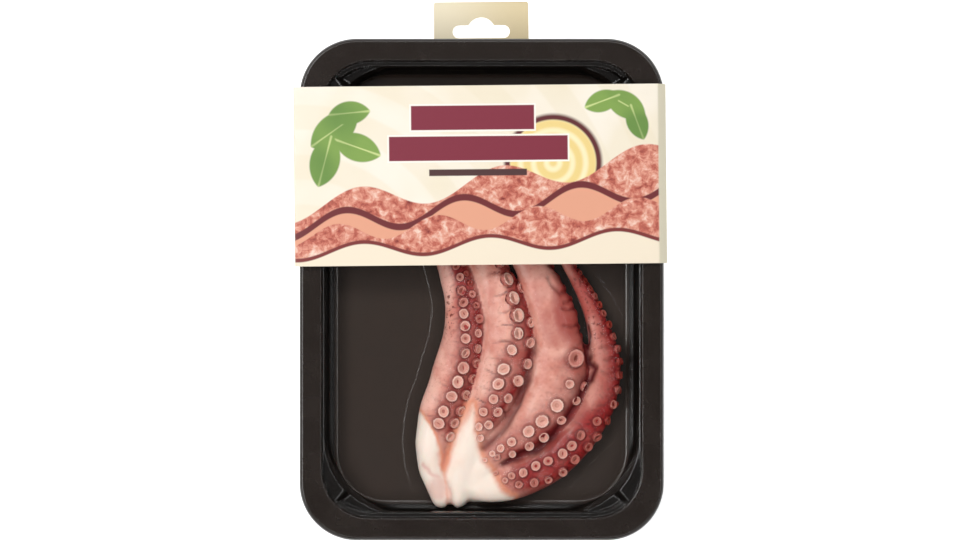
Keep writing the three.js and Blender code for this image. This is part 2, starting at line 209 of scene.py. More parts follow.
# Folds of the skin: depth, width, how much painted shade lies in them, and a route of x, y, in
# millimetres. One without depth only paints shade on the skin beside a crease.
SKIN_FOLDS = (
    (1.3, 1.9, 1.0, ((54.6, -20.0), (56.0, -37.8), (60.0, -42.0), (58.6, -48.9), (53.8, -54.0),
                     (49.4, -62.8), (43.8, -70.0), (38.4, -77.0), (30.8, -83.2), (21.8, -87.7),
                     (12.6, -93.4))),
    (0.0, 4.2, 0.7, ((54.6, -47.6), (52.0, -52.8), (47.2, -62.8), (41.6, -71.4), (35.8, -78.4),
                     (29.7, -83.6))),
    (0.9, 2.3, 0.75, ((26.6, -33.0), (23.6, -47.8), (19.4, -61.0), (13.8, -71.2), (6.4, -79.2),
                      (1.8, -84.0))),
    (1.2, 0.9, 0.4, ((52.5, -11.6), (47.0, -10.9), (41.9, -9.0))),
    (1.2, 0.8, 0.4, ((51.5, -19.4), (48.0, -20.4), (44.5, -20.0))),
    (1.0, 0.8, 0.3, ((49.0, -5.0), (45.5, -6.4), (43.0, -6.0))),
    (1.0, 1.3, 0.45, ((36.0, 5.0), (38.8, 0.5), (41.6, -1.6), (45.4, -0.6))),
    (1.0, 1.0, 0.3, ((37.0, 12.0), (41.2, 9.4), (44.0, 5.6))),
    (1.0, 0.9, 0.3, ((63.0, -43.5), (67.0, -45.0), (71.5, -44.0))),
    (1.0, 0.9, 0.3, ((64.5, -36.8), (68.5, -38.0), (72.5, -36.8))),
    (1.0, 0.9, 0.3, ((62.0, -30.0), (66.5, -31.2), (71.8, -30.4))),
    (0.8, 0.9, 0.3, ((62.8, -23.6), (66.0, -24.6), (69.6, -23.8))),
    (0.8, 0.8, 0.3, ((60.6, -17.4), (63.4, -18.4), (66.8, -17.6))),
)

# Patches of another colour on the octopus: kind, middle x, y and half sizes in millimetres, and
# strength from 0 to 1. The kinds are the channels of the attribute that carries them.
RED, SPECKLED, THIN = range(3)
PATCHES = (
    (RED, (47.5, -10.0), (14.0, 26.0), 0.85),
    (RED, (38.0, -20.0), (9.0, 14.0), 0.45),
    (RED, (31.0, 0.0), (8.0, 12.0), 0.35),
    (RED, (-17.0, -29.0), (6.0, 14.0), 0.3),
    (RED, (4.0, 4.0), (8.0, 9.0), 0.2),
    (RED, (24.0, -93.0), (13.0, 7.0), 0.7),
    (RED, (6.0, -86.0), (7.0, 9.0), 0.35),
    (RED, (40.0, -81.0), (12.0, 10.0), 0.8),
    (RED, (51.5, -65.0), (9.0, 13.0), 0.6),
    (SPECKLED, (-17.6, -12.0), (4.0, 15.0), 1.0),
    (SPECKLED, (60.0, -10.0), (8.0, 28.0), 0.8),
    (SPECKLED, (50.0, 2.0), (8.0, 10.0), 0.8),
    (THIN, (-23.8, -105.5), (7.5, 9.5), 0.8),
    (THIN, (-31.0, -54.0), (10.0, 16.0), 0.9),
    (THIN, (-23.0, -28.0), (9.0, 22.0), 0.4),
    (THIN, (-19.5, 2.0), (6.5, 18.0), 1.0),
    (THIN, (33.0, 2.0), (6.0, 13.0), 0.35),
    (THIN, (-0.5, -10.0), (5.0, 30.0), 0.5),
    (THIN, (3.5, -45.0), (6.0, 16.0), 0.7),
)

# Webs of skin that fill the gap to the next arm: the arm, where along it they start and end, how
# high they stand as share of the arm's height there, and their half width in millimetres.
WEBS = (
    (0, 0.14, 0.66, 0.72, 3.4),
    (1, 0.14, 0.50, 0.38, 3.6),
    (2, 0.06, 0.19, 0.35, 3.6),
)

# A sucker's profile from the middle of its cup to its foot: radius, height, both in sucker
# radii, and a number from 0 to 1 that its colours follow.
SUCKER_PROFILE = (
    (0.26, -0.10, 0.14), (0.42, 0.02, 0.32), (0.72, 0.05, 0.54), (0.95, 0.22, 0.74),
    (1.08, 0.02, 0.84), (1.04, -0.50, 0.93), (1.0, -1.00, 1.0),
)
SUCKER_PIT = -0.14
SUCKER_SIDES = 14
SUCKER_PITCH = 3.1                             # spacing along a row, in sucker radii
SUCKER_WANDER = (2, 0.05)                      # random part of angle, in degrees, and of radius
SUCKER_REACH = (-3, 1.6)                       # how far off the bare arm the skin may lie for one
PRESSED_LEAN = radians(21)                     # suckers that lean more are pressed shut
PRESSED_TURN, PRESSED_PINCH = 0.25, 0.3        # along the arm, to this share of their width

# How a sucker moves the skin round it, in sucker radii: the swell under it and its reach; the
# groove round it, its place and width; and the place and width of the dark ring in the groove,
# which is painted shade over some of the skin's own dark red.
SWELL, SWELL_REACH = 0.22, 1.25
GROOVE, GROOVE_AT, GROOVE_WIDTH = 0.20, 1.22, 0.2
RING_AT, RING_WIDTH = 1.14, 0.22

# Folds of the film on the tray's floor: height, width and a route of x, y, in millimetres.
FILM_FOLDS = (
    (0.22, 0.9, ((-65.6, 11.5), (-65.3, -12.5), (-71.2, -32.5))),
    (0.22, 0.9, ((-42.9, 11.5), (-43.8, -9.8), (-49.0, -26.7), (-59.8, -40.9), (-63.2, -54.0),
                 (-72.6, -59.4))),
    (0.25, 0.8, ((-27.5, -8.0), (-25.2, -20.5), (-26.4, -33.0), (-28.1, -43.2))),
    (0.3, 0.8, ((56.0, 8.1), (62.0, 0.5), (68.6, -7.1))),
    (0.25, 0.8, ((61.5, 8.1), (70.5, -2.5))),
    (0.5, 0.8, ((74.6, -33.0), (73.9, -41.0), (75.5, -49.0))),
    (0.5, 0.8, ((77.6, -59.2), (76.9, -64), (76.0, -67.2))),
    (0.25, 0.9, ((-33.8, -98.2), (-33.2, -106), (-31.4, -113.6))),
)

# The film's last loops, just inside the rim, in the form of the tray's creases.
FILM_RIM = ((2.6, 27.8, 24.0, 0.0, 0.0), (1.6, 28.2, 24.0, 0.0, 0.0), (1.2, 28.3, 24.0, 0.0, 0.0))

# The sleeve's outer section from the left side up and over to the right: x and z.
SLEEVE_SECTION = ((-89, 0), (-95.5, 25.4), (-95.1, 29), (95, 29), (99.6, 24.9), (90.5, 0))
SLEEVE_CENTRE = (-2.7, 59.7)
SLEEVE_STEPS = 24           # points along the sleeve, and across a panel wider than LONG_PANEL
LONG_PANEL = 60
FOLD_RADIUS = 0.9

# The hang tab with its euro slot: places and sizes on the tray.
TAB_X = 3.2
TAB_END = 153.6
TAB_CORNER = 1.3
SLOT = {"width": 30.6, "height": 6.9, "y": 137.7, "hump": 7.6}

# The print on the front panel, in millimetres from its middle.
# Waves: level, height, length, shift and slope of the upper edge, and the colour; None is the
# mottled rose.
PRINT_WAVES = (
    (-4, 7.0, 74, 0.5, 0.14, None), (-15, 6.0, 61, 2.4, 0.10, "#6B1D22"),
    (-18.5, 6.0, 61, 2.4, 0.10, "#E3A184"), (-24, 5.0, 52, 4.1, 0.08, None),
    (-35, 4.0, 66, 1.0, 0.04, "#7A2A28"), (-37, 4.0, 66, 1.0, 0.04, "#F1E3CC"),
)
# Leaves: middle x, y, half length and turn in degrees.
PRINT_LEAVES = (
    (-74, 24, 15, 35), (-62, 15, 13, -20), (-79, 8, 14, 75), (-66, 33, 11, 5),
    (78, 36, 12, 150), (66, 38, 10, 200), (84, 27, 10, 110),
)
# Blank plates: middle x, y, width, height, colour and how far the colour keeps off the edge.
PRINT_PLATES = (
    (-1.8, 30, 66, 14.5, "#FBF4EA", 0.0), (1.1, 14, 95, 14.5, "#FBF4EA", 0.0),
    (-1.8, 30, 66, 14.5, "#7E2036", 0.9), (1.1, 14, 95, 14.5, "#7E2036", 0.9),
    (0.8, 1.4, 51, 3.4, "#4A2A2A", 0.0),
)

# Softboxes: where they stand in metres, how wide and high they are, and their power in watts.
SOFTBOXES = (
    ((-0.70, 0.10, 1.17), (1.2, 0.26), 10.8),
    ((0.66, 0.10, 1.17), (1.2, 0.36), 3.5),
    ((0.00, -0.68, 1.22), (1.4, 0.30), 3.8),
    ((0.00, 0.68, 1.22), (1.4, 0.30), 6.2),
)
SENSOR_WIDTH = 36


# ------ small tools

def in_mm(metres):
    """A length setting in millimetres."""
    return metres / MM


def length_setting(name, description, millimetres, **limits):
    """A length on the panel; it and its limits are kept in metres."""
    return bpy.props.FloatProperty(name=name, description=description, unit="LENGTH",
                                   default=millimetres * MM, **limits)


def count_setting(name, description, default, lowest):
    """A whole number on the panel."""
    return bpy.props.IntProperty(name=name, description=description, default=default, min=lowest)


def colour_setting(name, description, code):
    """A colour on the panel, from a hex code."""
    return bpy.props.FloatVectorProperty(name=name, description=description, subtype="COLOR",
                                         size=4, default=linear(code), min=0, max=1)


def new_object(name, data):
    """An object with some data, in the scene."""
    made = bpy.data.objects.new(name, data)
    bpy.context.scene.collection.objects.link(made)
    return made


def mesh_object(bm, name):
    """Turns a bmesh into an object in the scene and frees it."""
    mesh = bpy.data.meshes.new(name)
    bm.to_mesh(mesh)
    bm.free()
    return new_object(name, mesh)


def finish_piece(bm, name, materials, slot, *nodes):
    """Turns a bmesh in millimetres into a placed piece that stands for some of the solid nodes."""
    bmesh.ops.transform(bm, matrix=TO_FRAME, verts=bm.verts)
    piece = mesh_object(bm, name)
    piece.data.shade_smooth()
    for material in materials:
        piece.data.materials.append(material)
    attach(piece, "root")
    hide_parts(*nodes)
    return piece


def tree_of(*names):
    """A search tree over the faces of some pieces, in metres."""
    bm = bmesh.new()
    for name in names:
        bm.from_mesh(bpy.data.objects[name].data)
    tree = BVHTree.FromBMesh(bm)
    bm.free()
    return tree


def smooth(bm, verts, rounds):
    """Pulls vertices halfway towards their neighbours, some rounds in a row."""
    for _ in range(rounds):
        bmesh.ops.smooth_vert(bm, verts=verts, factor=0.5, use_axis_x=True, use_axis_y=True,
                              use_axis_z=True)


def ring_edges(bm, ring):
    """The edges of a closed ring of vertices."""
    return [bm.edges.get((v, ring[i - 1])) for i, v in enumerate(ring)]


def extend(bm, ring, places):
    """Extrudes a closed ring of vertices to the next loop of places and returns the new ring."""
    made = set(bmesh.ops.extrude_edge_only(bm, edges=ring_edges(bm, ring))["geom"])
    new_ring = []
    for v, place in zip(ring, places):
        twin = next(e.other_vert(v) for e in v.link_edges if e.other_vert(v) in made)
        twin.co = place
        new_ring.append(twin)
    return new_ring


def first_ring(bm, places):
    """A closed ring of vertices through some places."""
    ring = bmesh.ops.create_circle(bm, cap_ends=False, segments=len(places), radius=1)["verts"]
    for v, place in zip(ring, places):
        v.co = place
    return ring


def loft(bm, loops, caps=True):
    """A shell through loops of places, closed at both ends unless caps is off."""
    start = end = first_ring(bm, loops[0])
    for places in loops[1:]:
        end = extend(bm, end, places)
    if caps:
        for ring in (start, end):
            bmesh.ops.edgeloop_fill(bm, edges=ring_edges(bm, ring))


def smooth_step(value, low, high):
    """0 below low, 1 above high and a soft rise between them, for numbers and arrays."""
    share = np.clip((value - low) / (high - low), 0, 1)
    return share * share * (3 - 2 * share)


def bell(value, width):
    """1 at a value of 0, falling off to both sides over a width."""
    return np.exp(-(value / width) ** 2)


def rounded_corner(start, corner, end, count):
    """Points of a curve from start to end that cuts a corner."""
    shares = [k / (count - 1) for k in range(count)]
    return [(1 - t) ** 2 * start + 2 * t * (1 - t) * corner + t * t * end for t in shares]


def keyed(keys, share, column):
    """A column of a table of keys, at one share or an array of shares between them."""
    return np.interp(share, [key[0] for key in keys], [key[column] for key in keys])


def distance_to(route, places):
    """How far each of an array of places lies from a route of x, y."""
    near = np.full(len(places), np.inf)
    for start, end in zip(route, route[1:]):
        edge = np.subtract(end, start)
        t = np.clip((places[:, :2] - start) @ edge / (edge @ edge), 0, 1)
        near = np.minimum(near, np.hypot(*(places[:, :2] - start - t[:, None] * edge).T))
    return near


def inside_outline(points, outline, soft):
    """How far inside an outline points lie, from 0 to 1 over a soft edge."""
    closed = (*outline, outline[0])
    inside = np.zeros(len(points), bool)
    for (ax, ay), (bx, by) in zip(closed, closed[1:]):
        crosses = (ay > points[:, 1]) != (by > points[:, 1])
        with np.errstate(divide="ignore", invalid="ignore"):
            where = (bx - ax) * (points[:, 1] - ay) / (by - ay) + ax
        inside ^= crosses & (points[:, 0] < where)
    distance = distance_to(closed, points)
    return smooth_step(np.where(inside, distance, -distance), -soft, soft)


def linear(code):
    """An sRGB hex colour as the linear colour that shaders take."""
    parts = [int(code[i:i + 2], 16) / 255 for i in (1, 3, 5)]
    return (*[p / 12.92 if p <= 0.04045 else ((p + 0.055) / 1.055) ** 2.4 for p in parts], 1.0)


def empty_material(name):
    """A material and its node tree, still without nodes."""
    material = bpy.data.materials.new(name)
    material.use_nodes = True
    material.node_tree.nodes.clear()
    return material, material.node_tree


def add(tree, kind, inputs=None, stops=(), **settings):
    """Adds a node and returns its outputs. The inputs, by name or place, take sockets, hex colours
    or plain values. The stops of a colour ramp are places and hex colours."""
    node = tree.nodes.new("ShaderNode" + kind)
    for name, value in settings.items():
        setattr(node, name, value)
    for key, value in (inputs or {}).items():
        if isinstance(value, bpy.types.NodeSocket):
            tree.links.new(value, node.inputs[key])
        else:
            node.inputs[key].default_value = linear(value) if isinstance(value, str) else value
    for _ in stops[2:]:
        node.color_ramp.elements.new(1.0)
    for number, (place, code) in enumerate(stops):
        element = node.color_ramp.elements[number]
        element.position, element.color = place, linear(code)
    return node.outputs


def cover(tree, *masks):
    """The product of masks. A mask is a socket, a number or a soft step: a value, the range that it
    runs through, and the range that this becomes if it isn't 0 to 1."""
    product = None
    for mask in masks:
        if isinstance(mask, tuple):
            mask = add(tree, "MapRange", dict(enumerate(mask)), interpolation_type="SMOOTHSTEP")[0]
        product = mask if product is None else add(
            tree, "Math", {0: product, 1: mask}, operation="MULTIPLY")[0]
    return product


def layered(tree, colour, *layers):
    """Lays colours over a first one, each followed by the masks that it keeps to."""
    for paint, *masks in layers:
        factor = cover(tree, *masks)
        colour = add(tree, "Mix", {0: factor, 6: colour, 7: paint}, data_type="RGBA")[2]
    return colour


def blob_scale(millimetres):
    """The scale of a noise over metres whose blobs are some millimetres wide."""
    return 1 / (2 * millimetres * MM)


# ------ tray

POCKET_BLUNT = 0.7          # half length of the step at the end of a stacking pocket
ARC_SHARE = 0.3             # share of a side's points that each half corner takes


def tray_point(crease, side, share, arc_share, grown=0.0):
    """A point of one of the tray's loops.

    side counts the four sides against the clock from the right long side, and share runs along
    it from the middle of one corner to the middle of the next. arc_share is how much of the
    share each half corner takes. grown moves the point off the sheet.
    """
    inset, radius, z, pocket, drop = crease
    inset, radius, z = inset + grown, radius - grown, z + grown
    short = side % 2
    size = (in_mm(TRAY_SIZE.x) / 2 - inset - radius, in_mm(TRAY_SIZE.y) / 2 - inset - radius)
    along, off = size if short else size[::-1]
    turn, run = 0.0, along * (2 * (share - arc_share) / (1 - 2 * arc_share) - 1)
    if share < arc_share:
        turn, run = -pi / 4 * (1 - share / arc_share), -along
    elif share > 1 - arc_share:
        turn, run = pi / 4 * (share - 1 + arc_share) / arc_share, along
    from_corner = min(share, 1 - share) / arc_share * radius * pi / 4
    in_pocket = 0.5 + (0.5 if short else -0.5) * min(1.0, from_corner / POCKET_BLUNT)
    reach = radius - in_pocket * pocket
    out, sideways = off + reach * cos(turn), run + reach * sin(turn)
    x, y = ((out, sideways), (-sideways, out), (-out, -sideways), (sideways, -out))[side]
    return Vector((x, y, in_mm(TRAY_LOW.z) + z - in_pocket * drop))


def rounded_creases(creases, fillet):
    """The creases with each inner one turned into a small arc between two holding loops."""
    points = np.array(creases)
    soft = [points[0]]
    for before, here, after in zip(points, points[1:], points[2:]):
        def towards(other, distance):
            span = np.linalg.norm((other - here)[[0, 2, 3, 4]])
            return here + (other - here) * min(0.45, distance / span)
        start, end = towards(before, fillet), towards(after, fillet)
        soft.append(towards(before, 1.8 * fillet))
        soft += rounded_corner(start, here, end, 4)
        soft.append(towards(after, 1.8 * fillet))
    soft.append(points[-1])
    distinct = [soft[0]] + [b for a, b in zip(soft, soft[1:]) if np.linalg.norm(b - a) > 1e-4]
    return [tuple(point) for point in distinct]


def wandering(places, reach):
    """The places, with those above the floor moved a little up or down, as thin sheet wanders."""
    for place in places:
        rise = max(0.0, (place.z - 4) / 20)
        place.z += reach * rise * noise.noise(Vector((place.x, place.y, 0)) * 0.021)
    return places


class TraySettings(bpy.types.PropertyGroup):
    wall: length_setting("Wall", "Thickness of the formed sheet", 0.9, min=0.0002)
    fillet: length_setting("Fillet", "Reach of the rounding at a crease", 0.5, min=0.0001)
    waviness: length_setting("Waviness", "How far the thin flange wanders from flat", 0.3, min=0.0)
    points: count_setting("Points", "Points along each side of a loop", 64, 16)
    sheet_colour: colour_setting("Sheet", "Warm black of the sheet", "#221B17")


def tray_material(settings):
    """Thermoformed black polypropylene sheet: satin, paler where it is stretched thin, with painted
    shade darkening its steep walls.
    """
    material, tree = empty_material("thermoformed_polypropylene")
    place = add(tree, "TexCoord")["Object"]
    height = add(tree, "SeparateXYZ", {0: place})["Z"]
    cloudy, grain = [add(tree, "TexNoise", {
        "Vector": place, "Scale": blob_scale(size), "Detail": detail, "Roughness": 0.55})["Fac"]
        for size, detail in ((9.0, 4.0), (0.6, 2.0))]    # a grain coarser than real, to show at all
    colour = layered(tree, tuple(settings.sheet_colour),
                     ("#362D28", (height, 0.017, 0.004)),
                     ("#2C241F", (cloudy, 0.3, 0.7, 0.0, 0.3)),
                     # painted shade: the steep walls between floor and flange are darker, as they
                     # catch little light from above
                     ("#120F0D", (height, 0.0019, 0.0030), (height, 0.0225, 0.0215)))
    satin = cover(tree, (cloudy, 0.25, 0.75, 0.17, 0.22))
    bump = add(tree, "Bump", {"Strength": 0.12, "Distance": 0.0002, "Height": grain})[0]
    shader = add(tree, "BsdfPrincipled", {
        "Base Color": colour, "Roughness": satin, "IOR": 1.49, "Normal": bump})[0]
    add(tree, "OutputMaterial", {"Surface": shader})
    return material


class PACK_OT_tray(bpy.types.Operator):
    """Forms the black tray with its flange, stacking pockets and stepped floor"""
    bl_idname = "mesh.pack_tray"
    bl_label = "Tray"

    def execute(self, context):
        settings = context.scene.pack_tray
        creases = rounded_creases(TRAY_CREASES, in_mm(settings.fillet))
        wall = Vector((0, 0, in_mm(settings.wall)))
        rim = creases[0][0] + 0.5

        def loop(crease, grown):
            places = [tray_point(crease, side, k / settings.points, ARC_SHARE, grown)
                      for side in range(4) for k in range(settings.points)]
            return wandering(places, in_mm(settings.waviness))

        upper = [loop(crease, 0.0) for crease in creases]
        under = [[p - wall for p in loop(crease, 0.0)] if crease[0] < rim
                 else loop(crease, -wall.z) for crease in reversed(creases)]
        bm = bmesh.new()
        loft(bm, under + upper)
        bmesh.ops.recalc_face_normals(bm, faces=bm.faces)
        finish_piece(bm, "tray_sheet", [tray_material(settings)], "tray", "tray")
        return {"FINISHED"}


# ------ octopus

class OctopusSettings(bpy.types.PropertyGroup):
    full_height: length_setting("Full height", "Half height that a very wide arm tends to", 10.5)
    flattening: length_setting("Flattening",
                               "Half width at which flattening under the film shows", 8)
    voxel: length_setting("Voxel", "Grid that joins the arms into one body", 0.8, min=0.0004)
    flesh_smoothing: count_setting("Flesh smoothing", "Rounds that smooth the bare flesh", 10, 0)
    skin_light: colour_setting("Pale skin", "Skin on the side away from the suckers", "#E3AA99")
    skin_deep: colour_setting("Deep skin", "Skin between the suckers", "#962424")
    flesh: colour_setting("Flesh", "Bare flesh at the base", "#F3E2D4")


SEAT_Z = in_mm(TRAY_LOW.z) + 0.9 + 0.3         # underside of the octopus on the tray's floor
FELT_FROM = 7                                  # height over the bare arm to feel its skin from
BELLY = 0.8                                    # depth under an arm's middle, in half heights
ARM_STEPS = 160
ARM_SIDES = 40
ARM_SAMPLES = 801
WEB_STEPS = 16
WEB_TAPER = 0.08                               # share of the arm over which a web runs out
BODY_SMOOTHING = 4                             # rounds that take off the voxels' steps
LUMP_RATE, WRINKLE_RATE = 0.09, 0.42           # how fast the skin's unevenness changes, per mm
LUMP, WRINKLE = 0.45, 0.10                     # and how high it is
ROW_FOLD, ROW_FOLD_WIDTH = 0.7, 0.06           # folds between suckers: depth, share of the spacing
GAP_DEPTH = 0.4                                # how far the skin sinks between two arms
CHUNK = 6000                                   # points that are compared with an arm at a time


class Arm:
    """The smooth course of one arm, sampled along its length."""

    def __init__(self, table, settings):
        self.table = table
        points = np.array(table["route"], float)
        points = np.vstack([2 * points[0] - points[1], points, 2 * points[-1] - points[-2]])
        t = np.linspace(0, len(points) - 3, ARM_SAMPLES)
        first = np.minimum(t.astype(int), len(points) - 4)
        f = (t - first)[:, None]
        p0, p1, p2, p3 = (points[first + k] for k in range(4))
        self.samples = 0.5 * (2 * p1 + (p2 - p0) * f + (2 * p0 - 5 * p1 + 4 * p2 - p3) * f ** 2
                              + (3 * p1 - p0 - 3 * p2 + p3) * f ** 3)
        steps = np.hypot(*np.diff(self.samples[:, :2], axis=0).T)
        self.travelled = np.concatenate([[0], np.cumsum(steps)])
        self.length = float(self.travelled[-1])
        along = np.gradient(self.samples[:, :2], axis=0)
        along /= np.linalg.norm(along, axis=1)[:, None]
        self.side = np.stack([along[:, 1], -along[:, 0]], axis=1)
        self.half_width = self.samples[:, 2]
        self.half_height = in_mm(settings.full_height) * (
            1 - np.exp(-self.half_width / in_mm(settings.flattening)))
        self.centre_z = SEAT_Z + BELLY * self.half_height

    def at(self, share):
        """Place, sideways direction and half sizes at a share of the length."""
        place = share * self.length
        def pick(values):
            return float(np.interp(place, self.travelled, values))
        centre = Vector((pick(self.samples[:, 0]), pick(self.samples[:, 1]), pick(self.centre_z)))
        side = Vector((pick(self.side[:, 0]), pick(self.side[:, 1]), 0)).normalized()
        return centre, side, pick(self.half_width), pick(self.half_height)

    def skin_point(self, share, angle, scale=1.0):
        """A point of the bare arm at an angle in radians from straight up."""
        centre, side, wide, high = self.at(share)
        power = 0.35 if cos(angle) < 0 else 1.0          # the underside is nearly square
        sideways = abs(sin(angle)) ** power * (1 if sin(angle) >= 0 else -1)
        return centre + side * (scale * wide * sideways) + Vector((0, 0, scale * high * cos(angle)))

    def outward(self, share, angle):
        """The direction that the skin faces at an angle in radians from straight up."""
        _, side, wide, high = self.at(share)
        return (side * (sin(angle) / wide) + Vector((0, 0, cos(angle) / high))).normalized()

    def loops(self):
        """The loops of the bare arm, rounded at both ends."""
        for i in range(ARM_STEPS + 1):
            share = i / ARM_STEPS
            half_width = self.at(share)[2]
            to_end = min(share, 1 - share) * self.length / half_width
            scale = sqrt(max(0.02, 1 - (1 - min(1.0, to_end)) ** 2))
            yield [self.skin_point(share, 2 * pi * k / ARM_SIDES, scale)
                   for k in range(ARM_SIDES)]

    def sucker_places(self, random):
        """Each sucker's row, share, angle, radius, and its lean outwards and along the arm."""
        for row, listed in enumerate(self.table["rows"]):
            for start, end in zip(listed, listed[1:]):
                pitch = SUCKER_PITCH * (start[2] + end[2]) / 2
                count = max(1, round((end[0] - start[0]) * self.length / pitch))
                for k in range(count):
                    share, angle, radius = np.add(start, np.subtract(end, start) * k / count)
                    wander = random.uniform(-1, 1, 4)
                    tumble = keyed(self.table["lean"], share, 3)
                    lean = keyed(self.table["lean"], share, 1 + row) + tumble * wander[0]
                    yield (row, share, radians(angle + SUCKER_WANDER[0] * wander[1]),
                           radius * (1 + SUCKER_WANDER[1] * wander[2]), radians(lean),
                           radians(tumble * wander[3]))


def make_arms(settings):
    """The four arms of the table."""
    return [Arm(table, settings) for table in ARMS]


def joined_body(arms, voxel):
    """The arms and the lumps of flesh as one closed mesh, in millimetres."""
    bm = bmesh.new()
    for arm in arms:
        loft(bm, list(arm.loops()))
    for (x, y), half in FLESH_LUMPS:
        place = Matrix.Translation((x, y, SEAT_Z)) @ Matrix.Diagonal((*half, 1))
        bmesh.ops.create_uvsphere(bm, u_segments=32, v_segments=20, radius=1, matrix=place)
    for index, start, end, level, half_width in WEBS:
        loops = []
        for share in np.linspace(start, end, WEB_STEPS):
            centre, side, wide, high = arms[index].at(share)
            taper = sqrt(max(0.02, min(1.0, (end - share) / WEB_TAPER)))
            foot = Vector((centre.x, centre.y, SEAT_Z)) + side * wide
            loops.append([foot + side * (half_width * cos(t))
                          + Vector((0, 0, (1 + BELLY) * high * level * taper * sin(t)))
                          for t in np.linspace(0, 2 * pi, WEB_STEPS, endpoint=False)])
        loft(bm, loops)
    bmesh.ops.recalc_face_normals(bm, faces=bm.faces)
    shell = mesh_object(bm, "joined")
    remesh = shell.modifiers.new("join", "REMESH")
    remesh.mode = "VOXEL"
    remesh.voxel_size = voxel
    graph = bpy.context.evaluated_depsgraph_get()
    joined = bpy.data.meshes.new_from_object(shell.evaluated_get(graph))
    bm = bmesh.new()
    bm.from_mesh(joined)
    rough = shell.data
    bpy.data.objects.remove(shell)
    bpy.data.meshes.remove(rough)
    bpy.data.meshes.remove(joined)
    return bm


def nearest_on_arms(arms, points):
    """Each point's arm, its share along it, its angle from straight up, its level and the next
    arm's depth.

    The level runs from 0 on the floor to 1 on top of the arm, and a depth is 1 on an arm's skin
    and more outside it.
    """
    found = np.empty((4, len(arms), len(points)))
    for index, arm in enumerate(arms):
        for start in range(0, len(points), CHUNK):
            part = slice(start, start + CHUNK)
            gap = points[part, None, :2] - arm.samples[None, ::2, :2]
            close = 2 * np.argmin((gap ** 2).sum(axis=2), axis=1)
            off = points[part, :2] - arm.samples[close, :2]
            across = (off * arm.side[close]).sum(axis=1) / arm.half_width[close]
            along = np.abs(off[:, 0] * arm.side[close, 1] - off[:, 1] * arm.side[close, 0])
            up = (points[part, 2] - arm.centre_z[close]) / arm.half_height[close]
            depth = np.sqrt(across ** 2 + up ** 2) + along / arm.half_width[close]
            found[:, index, part] = (depth, arm.travelled[close] / arm.length,
                                     np.arctan2(across, up), (up + BELLY) / (1 + BELLY))
    which = np.argmin(found[0], axis=0)
    share, angle, level = found[1:, which, np.arange(len(points))]
    return which, share, angle, level, np.sort(found[0], axis=0)[1]


def octopus_material(settings, name, colour_of):
    """Cooked octopus: moist flesh that lets light in, so it shades softly and glistens."""
    material, tree = empty_material(name)
    place = add(tree, "TexCoord")["Object"]
    pores = add(tree, "TexNoise", {
        "Vector": place, "Scale": blob_scale(0.45), "Detail": 3.0, "Roughness": 0.55})["Fac"]
    bump = add(tree, "Bump", {"Strength": 0.25, "Distance": 0.0003, "Height": pores})[0]
    shader = add(tree, "BsdfPrincipled", {
        "Base Color": colour_of(tree, place, settings), "Roughness": 0.5, "IOR": 1.38,
        "Specular IOR Level": 0.3, "Subsurface Weight": 0.28,
        "Subsurface Radius": (1.0, 0.4, 0.3), "Subsurface Scale": 0.0016, "Coat Weight": 0.04,
        "Coat Roughness": 0.2, "Normal": bump})[0]
    add(tree, "OutputMaterial", {"Surface": shader})
    return material


def skin_colours(tree, place, settings):
    """Pale pink sides, dark red between the suckers and white flesh, with painted shade: dark red
    in the creases and sucker grooves, darker red to near black between the arms and low on their
    sides.
    """
    masks = add(tree, "Attribute", attribute_name="masks")
    tints = add(tree, "Attribute", attribute_name="tints")
    # crease and the mask's alpha carry painted shade; the alpha covers the gaps between the arms,
    # the arms' low sides and the skin past the second row
    bare, zone, crease = add(tree, "SeparateColor", {0: masks["Color"]})
    red, speckled, thin = add(tree, "SeparateColor", {0: tints["Color"]})
    painted_shade, redness = masks["Alpha"], tints["Alpha"]
    redder = add(tree, "Math", {0: red, 1: redness}, operation="MAXIMUM")[0]
    patches, spots = [add(tree, "TexNoise", {
        "Vector": place, "Scale": blob_scale(size), "Detail": 3.0, "Roughness": roughness})["Fac"]
        for size, roughness in ((6.0, 0.6), (0.9, 0.55))]
    sides = layered(tree, tuple(settings.skin_light),
                    ("#CF8474", (patches, 0.35, 0.68)),
                    ("#F3C4B4", thin, 0.8),
                    ("#A03D37", redder),
                    ("#B1605A", (spots, 0.52, 0.75, 0, 0.4)),
                    ("#69302B", speckled, (spots, 0.54, 0.64, 0, 0.9)))
    between = layered(tree, tuple(settings.skin_deep),
                      ("#641A1A", (spots, 0.42, 0.68, 0.0, 0.75)))
    flesh = layered(tree, tuple(settings.flesh),
                    ("#EBCDBB", (patches, 0.45, 0.75, 0.0, 0.4)),
                    ("#E2BCB0", thin),
                    # painted shade on the flesh between the arms
                    ("#B7796B", painted_shade, 0.8))
    return layered(tree, sides,
                   (between, zone, (patches, 0.2, 0.6, 0.8, 1.0)),
                   # painted shade: dark red between the arms, low on their sides and past the
                   # second row
                   ("#6E181E", painted_shade, 0.9),
                   ("#DC9173", (bare, 0.01, 0.30), 0.8),
                   (flesh, (bare, 0.25, 0.85)),
                   # painted shade in the creases and the sucker grooves
                   ("#541014", crease),
                   # painted shade: near black in the narrowest gaps between the arms, less over
                   # bare flesh
                   ("#380B10", (painted_shade, 0.72, 1.0), (bare, 0.5, 0.8, 1.0, 0.25)))


